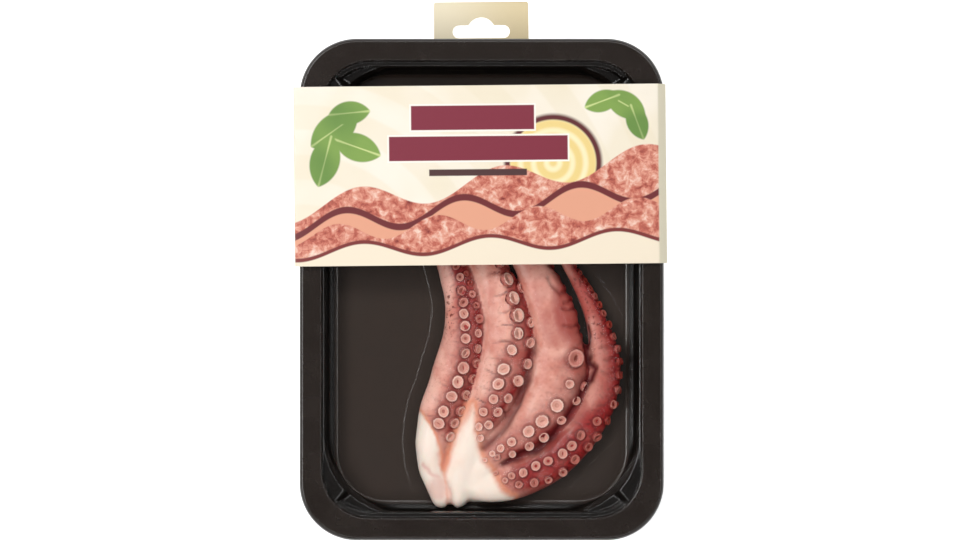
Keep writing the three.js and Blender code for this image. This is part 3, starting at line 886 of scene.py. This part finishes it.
class PACK_OT_octopus(bpy.types.Operator):
    """Joins four cooked octopus arms and the white flesh at their base into one body"""
    bl_idname = "mesh.pack_octopus"
    bl_label = "Octopus"

    def execute(self, context):
        settings = context.scene.pack_octopus
        arms = make_arms(settings)
        bm = joined_body(arms, in_mm(settings.voxel))
        smooth(bm, bm.verts, BODY_SMOOTHING)
        bm.normal_update()
        points = np.array([v.co for v in bm.verts])
        normals = np.array([v.normal for v in bm.verts])
        relief, masks, tints = skin_relief(arms, points, *nearest_on_arms(arms, points))
        points = points + normals * relief[:, None]
        points[:, 2] = np.maximum(points[:, 2], SEAT_Z)
        masks_layer = bm.verts.layers.float_color.new("masks")
        tints_layer = bm.verts.layers.float_color.new("tints")
        for v, place, mask, tint in zip(bm.verts, points, masks, tints):
            v.co = place
            v[masks_layer] = mask
            v[tints_layer] = tint
        bare = [v for v, mask in zip(bm.verts, masks) if mask[0] > 0.6]
        smooth(bm, bare, settings.flesh_smoothing)
        skin = octopus_material(settings, "cooked_octopus_skin", skin_colours)
        finish_piece(bm, "octopus_body", [skin], "octopus", "octopus")
        return {"FINISHED"}


def skin_relief(arms, points, which, share, angle, level, next_depth):
    """Relief along the normal in millimetres, and what the skin's colours follow.

    masks holds bare flesh, sucker zone, painted shade in the creases and sucker grooves, and
    painted shade between arms, low on their sides and past the second row; tints holds the kinds of
    patches.
    """
    random = np.random.default_rng(SEED)
    fold_strength = np.random.default_rng(SEED + 2).uniform(0.35, 1.0, 64)
    lumps = np.array([noise.noise(Vector(p) * LUMP_RATE) for p in points])
    wrinkles = np.array([noise.noise(Vector(p) * WRINKLE_RATE) for p in points])
    relief, zone, crease, shade = np.zeros((4, len(points)))
    tints = np.zeros((len(points), 4))
    for index, arm in enumerate(arms):
        mine = which == index
        p, s, a = points[mine], share[mine], angle[mine]
        suckers = list(arm.sucker_places(random))
        skin = arm.table["skin"]
        first, second = (np.radians(keyed(row, s, 1)) for row in arm.table["rows"])
        off = np.where(a < first, first - a, np.where(a > second, a - second, 0))
        start = min(row[0][0] for row in arm.table["rows"])
        begun = smooth_step(s, start - 0.02, start + 0.08)
        fade = np.radians(keyed(skin, s, 1))
        outer = smooth_step(a, first + 0.3 * (second - first), second + radians(8))
        strength = outer + (1 - outer) * keyed(skin, s, 4)
        zone_here = begun * (1 - smooth_step(off / fade, 0.15, 1.0)) * strength
        swell, ring = np.zeros((2, len(p)))
        for _, at, turn, radius, _, _ in suckers:
            gap = np.linalg.norm(p - np.array(arm.skin_point(at, turn)), axis=1) / radius
            swell += SWELL * radius * np.exp(-(gap / SWELL_REACH) ** 4)
            swell -= GROOVE * radius * bell(gap - GROOVE_AT, GROOVE_WIDTH)
            # the dark ring in the groove is painted shade, partly the skin's own dark red
            ring = np.maximum(ring, bell(gap - RING_AT, RING_WIDTH))
        row = [at for number, at, *_ in suckers if number == 0]
        count = np.interp(s, row, np.arange(len(row))) + 0.3 * lumps[mine]
        beat = np.abs(count % 1 - 0.5)
        edge = smooth_step(off, radians(4), radians(14)) * (
            1 - smooth_step(off, radians(28), radians(62))) * begun
        fold = bell(beat, ROW_FOLD_WIDTH) * edge * fold_strength[
            count.astype(int) % len(fold_strength)] * arm.table["folds"]
        relief[mine] = swell - ROW_FOLD * fold
        zone[mine] = zone_here
        # painted shade on the skin past the second row of suckers
        shade[mine] = begun * smooth_step(a, second + radians(8), second + radians(38))
        # crease holds painted shade: the dark rings in the sucker grooves and the folds between
        # suckers
        crease[mine] = np.maximum(0.6 * ring * np.sqrt(zone_here), 0.65 * fold)
        tints[mine, 3] = keyed(skin, s, 2)

    ragged = points + np.stack([2.2 * lumps + 0.5 * wrinkles, 0.5 * wrinkles - 2.2 * lumps,
                                lumps], axis=1)
    bare = np.maximum.reduce([inside_outline(ragged, outline, soft)
                              for soft, outline in BARE_FLESH])
    cut = smooth_step(bare, 0.35, 0.75)
    for kind, middle, half, strength in PATCHES:
        reach = np.hypot(*((ragged[:, :2] - middle) / half).T)
        tints[:, kind] = np.maximum(tints[:, kind], strength * (1 - smooth_step(reach, 0.5, 1)))
    relief = relief * (1 - cut) + LUMP * lumps + WRINKLE * wrinkles
    for depth, width, route in FLESH_FOLDS:
        fold = bell(distance_to(route, ragged), width) * cut
        relief -= depth * fold
        tints[:, THIN] = np.maximum(tints[:, THIN], fold)
    # painted shade along the folds of the skin
    for depth, width, painted_fold_shade, route in SKIN_FOLDS:
        fold = bell(distance_to(route, ragged), width) * smooth_step(level, 0.2, 0.5)
        relief -= depth * fold
        crease = np.maximum(crease, painted_fold_shade * fold)
    # painted shade low on the arms' sides and in the gaps between the arms, where little light
    # reaches
    low = smooth_step(np.abs(angle), radians(60), radians(90)) * (
        1 - smooth_step(level, 0.35, 0.7)) * (1 - 0.6 * cut)
    between_arms = (1 - smooth_step(next_depth, 1.0, 1.48)) * (1 - smooth_step(level, 0.45, 0.8))
    relief -= GAP_DEPTH * smooth_step(between_arms, 0.5, 1.0) * (1 - cut)
    masks = np.stack([bare, zone * (1 - cut), crease * (1 - cut),
                      np.maximum.reduce([between_arms * (1 - 0.5 * cut), 0.3 * low,
                                         0.7 * shade * (1 - cut)])], axis=1)
    return relief, masks, tints


def sucker_colours(tree, place, settings):
    """A pale rim round a pink cup with a browner middle, on a dark red foot; the dark under the rim
    and on the foot is partly painted shade.
    """
    part, tone = [add(tree, "Attribute", attribute_name=name)["Fac"] for name in ("part", "tone")]
    uneven, patches = [add(tree, "TexNoise", {
        "Vector": place, "Scale": blob_scale(size), "Detail": 2.0, "Roughness": 0.55})["Fac"]
        for size in (0.7, 2.0)]
    uneven = add(tree, "Math", {0: uneven, 1: 0.3, 2: -0.15}, operation="MULTIPLY_ADD")[0]
    uneven = cover(tree, uneven, (part, 0.0, 0.3, 0.3, 1.0))
    ring = add(tree, "Math", {0: part, 1: uneven}, operation="ADD")[0]
    # the dark stops under the rim and on the foot are painted shade over the skin's own dark red
    colour = add(tree, "ValToRGB", {"Fac": ring}, stops=(
        (0.0, "#D9A593"), (0.16, "#D09281"), (0.34, "#E2AC9B"), (0.54, "#E2A797"),
        (0.68, "#F0CDBF"), (0.77, "#EBC0B1"), (0.82, "#9A4A48"), (0.87, "#C98679"),
        (0.94, "#AF655C"), (1.0, "#5A1C20")))["Color"]
    colour = layered(tree, colour,
                     ("#8A3F35", (part, 0.10, 0.42, 0.9, 0.0), (tone, 0.12, 0.6, 0.05, 1.0)))
    blotches = cover(tree, (patches, 0.3, 0.75, 0.0, 0.25))
    for factor, paint in ((blotches, "#C98478"), (tone, "#B45A52")):
        colour = add(tree, "Mix", {0: factor, 6: colour, 7: paint}, data_type="RGBA",
                     blend_type="MULTIPLY")[2]
    return colour


class PACK_OT_suckers(bpy.types.Operator):
    """Sets two alternating rows of cupped suckers on each arm"""
    bl_idname = "mesh.pack_suckers"
    bl_label = "Suckers"

    def cup(self, bm, layer):
        """One sucker of radius 1 at the origin, facing up."""
        rings = []
        for radius, height, part in SUCKER_PROFILE:
            turns = [2 * pi * k / SUCKER_SIDES for k in range(SUCKER_SIDES)]
            circle = [Vector((radius * cos(t), radius * sin(t), height)) for t in turns]
            rings.append(extend(bm, rings[-1], circle) if rings else first_ring(bm, circle))
            for v in rings[-1]:
                v[layer] = part
        for ring, height, part in ((rings[0], SUCKER_PIT, 0.0),
                                   (rings[-1], SUCKER_PROFILE[-1][1], 1.0)):
            face = bmesh.ops.edgeloop_fill(bm, edges=ring_edges(bm, ring))["faces"]
            middle = bmesh.ops.poke(bm, faces=face)["verts"][0]
            middle.co = (0, 0, height)
            middle[layer] = part
        bmesh.ops.recalc_face_normals(bm, faces=bm.faces)
        return bm.verts[:] + bm.edges[:] + bm.faces[:]

    def execute(self, context):
        settings = context.scene.pack_octopus
        arms = make_arms(settings)
        surface = tree_of("octopus_body")
        random = np.random.default_rng(SEED)
        places = [(arm, place) for arm in arms for place in arm.sucker_places(random)]
        shapes = np.random.default_rng(SEED + 1)
        bm = bmesh.new()
        part = bm.verts.layers.float.new("part")
        tone = bm.verts.layers.float.new("tone")
        template = self.cup(bm, part)
        for arm, (row, share, angle, radius, outwards, along) in places:
            foot = arm.skin_point(share, angle)
            out = arm.outward(share, angle)
            hit = surface.ray_cast(TO_FRAME @ (foot + out * FELT_FROM), -out)[0]
            squeeze, turn, sink, shade, slit = shapes.uniform(0, 1, 5)
            if hit is None:
                continue
            hit = TO_FRAME.inverted() @ hit
            if not SUCKER_REACH[0] <= (hit - foot).dot(out) <= SUCKER_REACH[1]:
                continue
            pinch = 1 - 0.75 * slit * smooth_step(slit, 0.3, 0.8)
            if outwards > PRESSED_LEAN:
                turn, pinch = PRESSED_TURN, PRESSED_PINCH
            side = arm.at(share)[1]
            facing = arm.outward(share, angle + outwards) + Vector((0, 0, 0.15))
            facing = (facing.normalized() + sin(along) * Vector((-side.y, side.x, 0))).normalized()
            place = (Matrix.Translation(hit + facing * radius * (0.18 - 0.12 * sink))
                     @ facing.to_track_quat("Z", "Y").to_matrix().to_4x4()
                     @ Matrix.Rotation(2 * pi * turn, 4, "Z")
                     @ Matrix.Diagonal((radius * (1 - 0.14 * squeeze), radius, radius, 1)))
            copy = bmesh.ops.duplicate(bm, geom=template)["geom"]
            verts = [g for g in copy if isinstance(g, bmesh.types.BMVert)]
            bmesh.ops.scale(bm, vec=(pinch, 1.2 - 0.2 * pinch, 1),
                            verts=[v for v in verts if v[part] < 0.4])
            bmesh.ops.transform(bm, matrix=place, verts=verts)
            redness = keyed(arm.table["skin"], share, 3) + 0.2 * row + 0.35 * (shade - 0.4)
            for v in verts:
                v[tone] = min(1.0, max(0.0, redness))
        bmesh.ops.delete(bm, geom=[g for g in template if isinstance(g, bmesh.types.BMVert)],
                         context="VERTS")
        for v in bm.verts:
            v.co.z = max(v.co.z, SEAT_Z)
        skin = octopus_material(settings, "cooked_octopus_suckers", sucker_colours)
        finish_piece(bm, "octopus_suckers", [skin], "octopus", "octopus")
        return {"FINISHED"}


# ------ skin film

class FilmSettings(bpy.types.PropertyGroup):
    thickness: length_setting("Thickness", "Thickness of the film", 0.15)
    gap: length_setting("Gap", "Air kept under the film on the tray", 0.15)
    over_food: length_setting("Over food", "Air kept over the arms", 0.22)
    mesh_size: length_setting("Mesh size", "Spacing of the film's grid on the floor", 1.35)
    bridging: count_setting("Bridging", "Rounds in which the film pulls itself straight", 6, 0)


SETTLING = 3                # last rounds, which only smooth the film
ROUNDING = 0.72             # share of the way out from which the film's grid takes round corners
ABOVE = 60                  # height over the pack from which the food is felt
FLOOR_EDGE = 0.7            # creases nearer to the floor's loop belong to the film's grid


def film_material():
    """Clear heat-shrunk film: nearly invisible but for sharp highlights."""
    material, tree = empty_material("clear_skin_film")
    place = add(tree, "TexCoord")["Object"]
    ripples = add(tree, "TexNoise", {
        "Vector": place, "Scale": blob_scale(3.5), "Detail": 2.0, "Roughness": 0.55})["Fac"]
    bump = add(tree, "Bump", {"Strength": 0.12, "Distance": 0.0004, "Height": ripples})[0]
    facing = add(tree, "LayerWeight", {"Blend": 0.5})["Facing"]
    mirror = add(tree, "Math", {0: facing, 1: 4.0}, operation="POWER")[0]
    mirror = add(tree, "Math", {0: mirror, 1: 0.035, 2: 0.0025}, operation="MULTIPLY_ADD")[0]
    clear = add(tree, "BsdfTransparent", {"Color": "#FFFFFF"})[0]
    shine = add(tree, "BsdfPrincipled", {
        "Base Color": "#FFFFFF", "Metallic": 1.0, "Roughness": 0.11, "Normal": bump})[0]
    shader = add(tree, "MixShader", {0: mirror, 1: clear, 2: shine})[0]
    add(tree, "OutputMaterial", {"Surface": shader})
    return material


class PACK_OT_film(bpy.types.Operator):
    """Drapes the skin film over the arms and presses it to the tray"""
    bl_idname = "mesh.pack_film"
    bl_label = "Skin film"

    def execute(self, context):
        settings = context.scene.pack_film
        gap = in_mm(settings.gap)
        creases = rounded_creases(TRAY_CREASES[1:], in_mm(context.scene.pack_tray.fillet))
        floor = TRAY_CREASES[-2]
        half_x = in_mm(TRAY_SIZE.x) / 2 - floor[0] - gap
        half_y = in_mm(TRAY_SIZE.y) / 2 - floor[0] - gap
        counts = [2 * round(half / in_mm(settings.mesh_size)) for half in (half_x, half_y)]
        bm = bmesh.new()
        bmesh.ops.create_grid(bm, x_segments=counts[0], y_segments=counts[1], size=1)
        arc_share = [floor[1] / (2 * half_y), floor[1] / (2 * half_x)]
        rim = {}
        for v in bm.verts:
            u, w = v.co.x, v.co.y
            t = max(abs(u), abs(w))
            flat = Vector((u * half_x, w * half_y, 0))
            if t < 1e-6:
                v.co = flat
                continue
            if abs(u) >= abs(w):
                side, share = (0, (w / t + 1) / 2) if u > 0 else (2, (1 - w / t) / 2)
            else:
                side, share = (1, (1 - u / t) / 2) if w > 0 else (3, (u / t + 1) / 2)
            edge = tray_point(floor, side, share, arc_share[side % 2], gap)
            weight = float(smooth_step(t, ROUNDING, 1.0))
            v.co = flat.lerp(Vector((edge.x * t, edge.y * t, 0)), weight)
            if t > 1 - 1e-5:
                rim[(side + share) % 4] = (v, side, share)
        base = in_mm(TRAY_LOW.z) + floor[2] + gap
        self.drape(bm, base, in_mm(settings.over_food), settings.bridging)
        order = [rim[key] for key in sorted(rim)]
        ring = [v for v, _, _ in order]
        outer = [c for c in reversed(creases) if FILM_RIM[0][0] < c[0] < floor[0] - FLOOR_EDGE]
        for crease in (*outer, *FILM_RIM):
            places = [tray_point(crease, side, share, arc_share[side % 2], gap)
                      for _, side, share in order]
            ring = extend(bm, ring, wandering(places, in_mm(context.scene.pack_tray.waviness)))
        bmesh.ops.recalc_face_normals(bm, faces=bm.faces)
        if sum(f.normal.z for f in bm.faces) < 0:
            bmesh.ops.reverse_faces(bm, faces=bm.faces)
        piece = finish_piece(bm, "film_sheet", [film_material()], "skin_film", "skin_film")
        wall = piece.modifiers.new("thickness", "SOLIDIFY")
        wall.thickness = settings.thickness
        wall.offset = 1.0
        return {"FINISHED"}

    def drape(self, bm, base, over_food, rounds):
        """Sets the height of each vertex on the floor: over the food, bridged and folded."""
        surface = tree_of("octopus_body", "octopus_suckers")
        bm.verts.ensure_lookup_table()
        heights = np.full(len(bm.verts), base)
        for v in bm.verts:
            start = TO_FRAME @ Vector((v.co.x, v.co.y, ABOVE))
            hit = surface.ray_cast(start, Vector((0, 0, -1)))[0]
            if hit is not None:
                heights[v.index] = max(base, in_mm(hit.z) + over_food)
        first, second = np.array([(e.verts[0].index, e.verts[1].index) for e in bm.edges]).T
        places = np.array([v.co[:2] for v in bm.verts])
        border = np.array([v.is_boundary for v in bm.verts])
        # each vertex takes the highest value of its neighbours, so that no side pokes out
        food = heights.copy()
        np.maximum.at(food, first, heights[second])
        np.maximum.at(food, second, heights[first])
        film = food.copy()
        for number in range(rounds + SETTLING):
            total, count = np.zeros((2, len(film)))
            for here, there in ((first, second), (second, first)):
                np.add.at(total, here, film[there])
                np.add.at(count, here, 1)
            film = total / count if number >= rounds else np.maximum(food, total / count)
        film = np.maximum(film, food - 0.2)                  # still clear of the food
        for height, width, route in FILM_FOLDS:
            film += height * bell(distance_to(route, places), width)
        film[border] = base
        for v in bm.verts:
            v.co.z = film[v.index]


# ------ sleeve

class SleeveSettings(bpy.types.PropertyGroup):
    card: length_setting("Card", "Thickness of the card", 0.5)
    length: length_setting("Length", "Length of the sleeve along the pack", 93.6)
    turn: bpy.props.FloatProperty(
        name="Turn", description="How far the sleeve sits askew", default=radians(0.55),
        unit="ROTATION")
    tab_width: length_setting("Tab width", "Width of the hang tab", 50.6)
    ground: colour_setting("Ground", "Cream ground of the print", "#F5ECDD")


def arc(x, y, radius, start, end, steps=10):
    """Points of an arc in the X and Y plane; angles in degrees."""
    turns = [radians(start + (end - start) * k / steps) for k in range(steps + 1)]
    return [(x + radius * cos(t), y + radius * sin(t)) for t in turns]


def print_material(settings):
    """Offset print under a dull varnish on coated folding board."""
    material, tree = empty_material("printed_folding_board")
    local = add(tree, "Attribute", attribute_name="print_place")["Vector"]
    x, y, z = add(tree, "SeparateXYZ", {0: local})
    flat = add(tree, "CombineXYZ", {0: x, 1: y})[0]
    metres = add(tree, "VectorMath", {0: local, 3: MM}, operation="SCALE")[0]
    cloudy, mottled, tooth = [add(tree, "TexNoise", {
        "Vector": metres, "Scale": blob_scale(size), "Detail": detail, "Roughness": roughness,
        "Distortion": distortion})["Fac"] for size, detail, roughness, distortion in (
            (22.0, 2.0, 0.55, 0.0), (2.2, 5.0, 0.62, 0.4), (0.35, 2.0, 0.55, 0.0))]

    # faint broad rings on the ground; a pale yellow disc with darker rings and a burgundy border
    far, gap = [add(tree, "VectorMath", {0: flat, 1: (*centre, 0)}, operation="DISTANCE")["Value"]
                for centre in ((-92, -60), (40, 6))]
    broad, narrow = [add(tree, "Math", {0: distance, 1: width}, operation="PINGPONG")[0]
                     for distance, width in ((far, 13.0), (gap, 3.4))]
    yellow = layered(tree, "#EDD288", ("#F9EBBE", (narrow, 0.9, 3.2)))
    colour = layered(tree, tuple(settings.ground),
                     ("#EFE4CE", (cloudy, 0.35, 0.65)),
                     ("#E8DBBE", (broad, 5.5, 7.5), 0.35),
                     ("#5B1A1F", (gap, 24.3, 26.7, 1.0, 0.0)),
                     (yellow, (gap, 21.9, 23.1, 1.0, 0.0)))

    # layered waves of mottled rose, burgundy and orange pink
    rose = add(tree, "ValToRGB", {"Fac": mottled}, stops=(
        (0.28, "#7E2A26"), (0.42, "#BE6250"), (0.55, "#DE9781"), (0.72, "#F6D9C8")))["Color"]
    for level, height, length, shift, slope, paint in PRINT_WAVES:
        phase = add(tree, "Math", {0: x, 1: 2 * pi / length, 2: shift},
                    operation="MULTIPLY_ADD")[0]
        swell = add(tree, "Math", {0: phase}, operation="SINE")[0]
        top = add(tree, "Math", {0: swell, 1: height, 2: level}, operation="MULTIPLY_ADD")[0]
        top = add(tree, "Math", {0: x, 1: slope, 2: top}, operation="MULTIPLY_ADD")[0]
        depth = add(tree, "Math", {0: top, 1: y}, operation="SUBTRACT")[0]
        colour = layered(tree, colour, (paint or rose, (depth, -0.4, 0.4)))

    # sprigs of plain green leaves, each where two discs overlap
    for cx, cy, length, turn in PRINT_LEAVES:
        wide = length * 0.62
        nx, ny = -sin(radians(turn)) * wide, cos(radians(turn)) * wide
        reach = sqrt(length ** 2 + wide ** 2)
        discs = [add(tree, "VectorMath", {0: flat, 1: (cx + side * nx, cy + side * ny, 0)},
                     operation="DISTANCE")["Value"] for side in (1, -1)]
        vein = add(tree, "Math", dict(enumerate(discs)), operation="SUBTRACT")[0]
        vein = add(tree, "Math", {0: vein}, operation="ABSOLUTE")[0]
        green = layered(tree, "#CBD98E",
                        ("#7FA04A", (vein, 0.0, 1.2)),
                        ("#4E7A33", (cloudy, 0.4, 0.6, 0, 0.6)))
        within = [(away, reach - 0.5, reach + 0.5, 1.0, 0.0) for away in discs]
        colour = layered(tree, colour, (green, *within))

    # blank plates where a title would stand
    for cx, cy, wide, high, code, inset in PRINT_PLATES:
        past = flat
        for operation, other in (("SUBTRACT", (cx, cy, 0)), ("ABSOLUTE", (0, 0, 0)),
                                 ("SUBTRACT", (wide / 2 - inset, high / 2 - inset, 0))):
            past = add(tree, "VectorMath", {0: past, 1: other}, operation=operation)[0]
        across, along, _ = add(tree, "SeparateXYZ", {0: past})
        past = add(tree, "Math", {0: across, 1: along}, operation="MAXIMUM")[0]
        colour = layered(tree, colour, (code, (past, -0.25, 0.25, 1.0, 0.0)))

    # only the front panel is printed; the sides, the back and the tab are plain
    aside = add(tree, "Math", {0: x}, operation="ABSOLUTE")[0]
    colour = layered(tree, "#E9DDC0",
                     ("#DCCAA1", (x, -22, 28)),
                     ("#E3DBC2", (aside, 60, 80)),
                     (colour, (z, 27.0, 28.6), (aside, 94.6, 95.4, 1.0, 0.0)))
    bump = add(tree, "Bump", {"Strength": 0.05, "Distance": 0.0001, "Height": tooth})[0]
    shader = add(tree, "BsdfPrincipled", {
        "Base Color": colour, "Roughness": 0.45, "IOR": 1.46, "Normal": bump})[0]
    add(tree, "OutputMaterial", {"Surface": shader})
    return material


def board_material():
    """The unprinted inner side and cut edges of folding board: warm white and matt."""
    material, tree = empty_material("unprinted_folding_board")
    place = add(tree, "TexCoord")["Object"]
    fibres = add(tree, "TexNoise", {
        "Vector": place, "Scale": blob_scale(0.8), "Detail": 4.0, "Roughness": 0.55})["Fac"]
    colour = layered(tree, "#F1ECE2", ("#DFD8CA", (fibres, 0.3, 0.7)))
    shader = add(tree, "BsdfPrincipled", {"Base Color": colour, "Roughness": 0.8})[0]
    add(tree, "OutputMaterial", {"Surface": shader})
    return material


class PACK_OT_sleeve(bpy.types.Operator):
    """Folds the printed card sleeve round the tray, with its hang tab"""
    bl_idname = "mesh.pack_sleeve"
    bl_label = "Card sleeve"

    def execute(self, context):
        settings = context.scene.pack_sleeve
        length = in_mm(settings.length)
        bm = bmesh.new()
        section = self.rounded_section()
        loops = [[Vector((x, length * (i / SLEEVE_STEPS - 0.5), z)) for x, z in section]
                 for i in range(SLEEVE_STEPS + 1)]
        loft(bm, loops, caps=False)
        self.add_tab(bm, length / 2, in_mm(settings.tab_width))
        bmesh.ops.recalc_face_normals(bm, faces=bm.faces)
        if sum(f.normal.z for f in bm.faces if f.calc_center_median().z > 20) < 0:
            bmesh.ops.reverse_faces(bm, faces=bm.faces)      # the front panel has to face up
        layer = bm.verts.layers.float_vector.new("print_place")
        for v in bm.verts:
            v[layer] = v.co
        outer = set(bm.faces)
        bmesh.ops.solidify(bm, geom=bm.faces[:], thickness=in_mm(settings.card))
        for face in bm.faces:
            tab_front = face.calc_center_median().y > length / 2 and face.normal.z > 0.5
            face.material_index = 0 if face in outer or tab_front else 1
        place = Matrix.Translation((*SLEEVE_CENTRE, 0)) @ Matrix.Rotation(settings.turn, 4, "Z")
        bmesh.ops.transform(bm, matrix=place, verts=bm.verts)
        piece = finish_piece(bm, "card_sleeve", [print_material(settings), board_material()],
                             "sleeve", "sleeve")
        piece.data.set_sharp_from_angle(angle=radians(35))
        return {"FINISHED"}

    def rounded_section(self):
        """The sleeve's section with rounded folds, against the clock seen from the front."""
        corners = [Vector(c) for c in SLEEVE_SECTION]
        points = []
        for i, here in enumerate(corners):
            before, after = corners[i - 1], corners[(i + 1) % len(corners)]
            start = here + (before - here).normalized() * FOLD_RADIUS
            end = here + (after - here).normalized() * FOLD_RADIUS
            points += rounded_corner(start, here, end, 5)
            gap = (after - here).length
            if gap > LONG_PANEL:
                for k in range(1, SLEEVE_STEPS):
                    points.append(end.lerp(after, k / SLEEVE_STEPS * (gap - FOLD_RADIUS) / gap))
        return points

    def add_tab(self, bm, root, width):
        """The flat hang tab with its euro slot, growing out of the back panel's upper edge."""
        left, right = TAB_X - width / 2, TAB_X + width / 2
        end = TAB_END - SLEEVE_CENTRE[1]
        outline = [(left, root), (right, root)]
        outline += arc(right - TAB_CORNER, end - TAB_CORNER, TAB_CORNER, 0, 90, 6)
        outline += arc(left + TAB_CORNER, end - TAB_CORNER, TAB_CORNER, 90, 180, 6)
        y = SLOT["y"] - SLEEVE_CENTRE[1]
        half, radius, hump = SLOT["width"] / 2, SLOT["height"] / 2, SLOT["hump"]
        start = degrees(asin(radius / hump))
        hole = arc(TAB_X + half - radius, y, radius, -90, 90)
        hole += arc(TAB_X, y, hump, start, 180 - start, 20)
        hole += arc(TAB_X - half + radius, y, radius, 90, 270)
        edges = []
        for loop in (outline, hole):
            verts = [bm.verts.new((px, py, 0)) for px, py in loop]
            edges += [bm.edges.new((v, verts[i - 1])) for i, v in enumerate(verts)]
        bmesh.ops.triangle_fill(bm, use_beauty=True, use_dissolve=False, edges=edges)


# ------ stage

class StageSettings(bpy.types.PropertyGroup):
    camera_x: length_setting("Camera x", "Camera over the tray, sideways from its middle", -0.9)
    camera_y: length_setting("Camera y", "Camera over the tray, lengthways from its middle", 10.2)
    camera_height: length_setting("Camera height", "Height of the camera over the flange", 1100)
    view_width: length_setting("View width", "Width of the picture at the flange", 502.5)
    floor_colour: colour_setting("Floor", "White paper sweep", "#F7F7F7")


class PACK_OT_stage(bpy.types.Operator):
    """Lays a white floor and sets soft lights and a camera that looks straight down"""
    bl_idname = "object.pack_stage"
    bl_label = "Stage"

    def execute(self, context):
        settings = context.scene.pack_stage
        scene = context.scene
        self.floor(settings)
        for number, (place, (wide, high), power) in enumerate(SOFTBOXES):
            lamp = bpy.data.lights.new(f"softbox_{number}", "AREA")
            lamp.shape = "RECTANGLE"
            lamp.size, lamp.size_y = wide, high
            lamp.energy = power
            softbox = new_object(lamp.name, lamp)
            softbox.location = place
            softbox.rotation_euler = (-Vector(place)).to_track_quat("-Z", "Y").to_euler()
        camera = bpy.data.cameras.new("camera")
        camera.sensor_width = SENSOR_WIDTH
        camera.lens = SENSOR_WIDTH * settings.camera_height / settings.view_width
        viewer = new_object("camera", camera)
        viewer.location = (TRAY_MIDDLE.x + settings.camera_x, TRAY_MIDDLE.y + settings.camera_y,
                           TRAY_HIGH.z + settings.camera_height)
        scene.camera = viewer
        world = bpy.data.worlds.new("studio")
        world.use_nodes = True
        background = world.node_tree.nodes["Background"]
        background.inputs["Color"].default_value = linear("#F4F6F8")
        background.inputs["Strength"].default_value = 0.12      # the softboxes do the rest
        scene.world = world
        scene.view_settings.view_transform = "Standard"
        return {"FINISHED"}

    def floor(self, settings):
        """A wide white floor that glows a little, so that it stays white to its edges."""
        bm = bmesh.new()
        bmesh.ops.create_grid(bm, x_segments=2, y_segments=2, size=6.0)
        bmesh.ops.translate(bm, verts=bm.verts, vec=(0, 0, -0.2 * MM))      # just under the pack
        floor = mesh_object(bm, "floor")
        paper, tree = empty_material("white_paper_sweep")
        shader = add(tree, "BsdfPrincipled", {
            "Base Color": tuple(settings.floor_colour), "Roughness": 0.9,
            "Emission Color": "#FFFFFF", "Emission Strength": 0.6})[0]
        add(tree, "OutputMaterial", {"Surface": shader})
        floor.data.materials.append(paper)
        floor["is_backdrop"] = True


# ------ panel and registration

class PACK_PT_pieces(bpy.types.Panel):
    """Lists the operators that make the pack"""
    bl_idname = "PACK_PT_pieces"
    bl_label = "Octopus pack"
    bl_space_type = "VIEW_3D"
    bl_region_type = "UI"
    bl_category = "Octopus pack"

    def draw(self, context):
        for operator in OPERATORS:
            self.layout.operator(operator.bl_idname)


SETTINGS = (
    ("pack_tray", TraySettings),
    ("pack_octopus", OctopusSettings),
    ("pack_film", FilmSettings),
    ("pack_sleeve", SleeveSettings),
    ("pack_stage", StageSettings),
)
OPERATORS = (PACK_OT_tray, PACK_OT_octopus, PACK_OT_suckers, PACK_OT_film, PACK_OT_sleeve,
             PACK_OT_stage)


def register():
    for name, group in SETTINGS:
        bpy.utils.register_class(group)
        setattr(bpy.types.Scene, name, bpy.props.PointerProperty(type=group))
    for operator in OPERATORS:
        bpy.utils.register_class(operator)
    bpy.utils.register_class(PACK_PT_pieces)


def unregister():
    bpy.utils.unregister_class(PACK_PT_pieces)
    for operator in reversed(OPERATORS):
        bpy.utils.unregister_class(operator)
    for name, group in reversed(SETTINGS):
        delattr(bpy.types.Scene, name)
        bpy.utils.unregister_class(group)


def main():
    register()
    bpy.ops.mesh.pack_tray()
    bpy.ops.mesh.pack_octopus()
    bpy.ops.mesh.pack_suckers()
    bpy.ops.mesh.pack_film()
    bpy.ops.mesh.pack_sleeve()
    bpy.ops.object.pack_stage()
    boxes = {"cad": CAD_BOX, "visual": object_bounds()}
    {name: [list(corner) for corner in box] for name, box in boxes.items()}


if __name__ == "__main__":
    main()
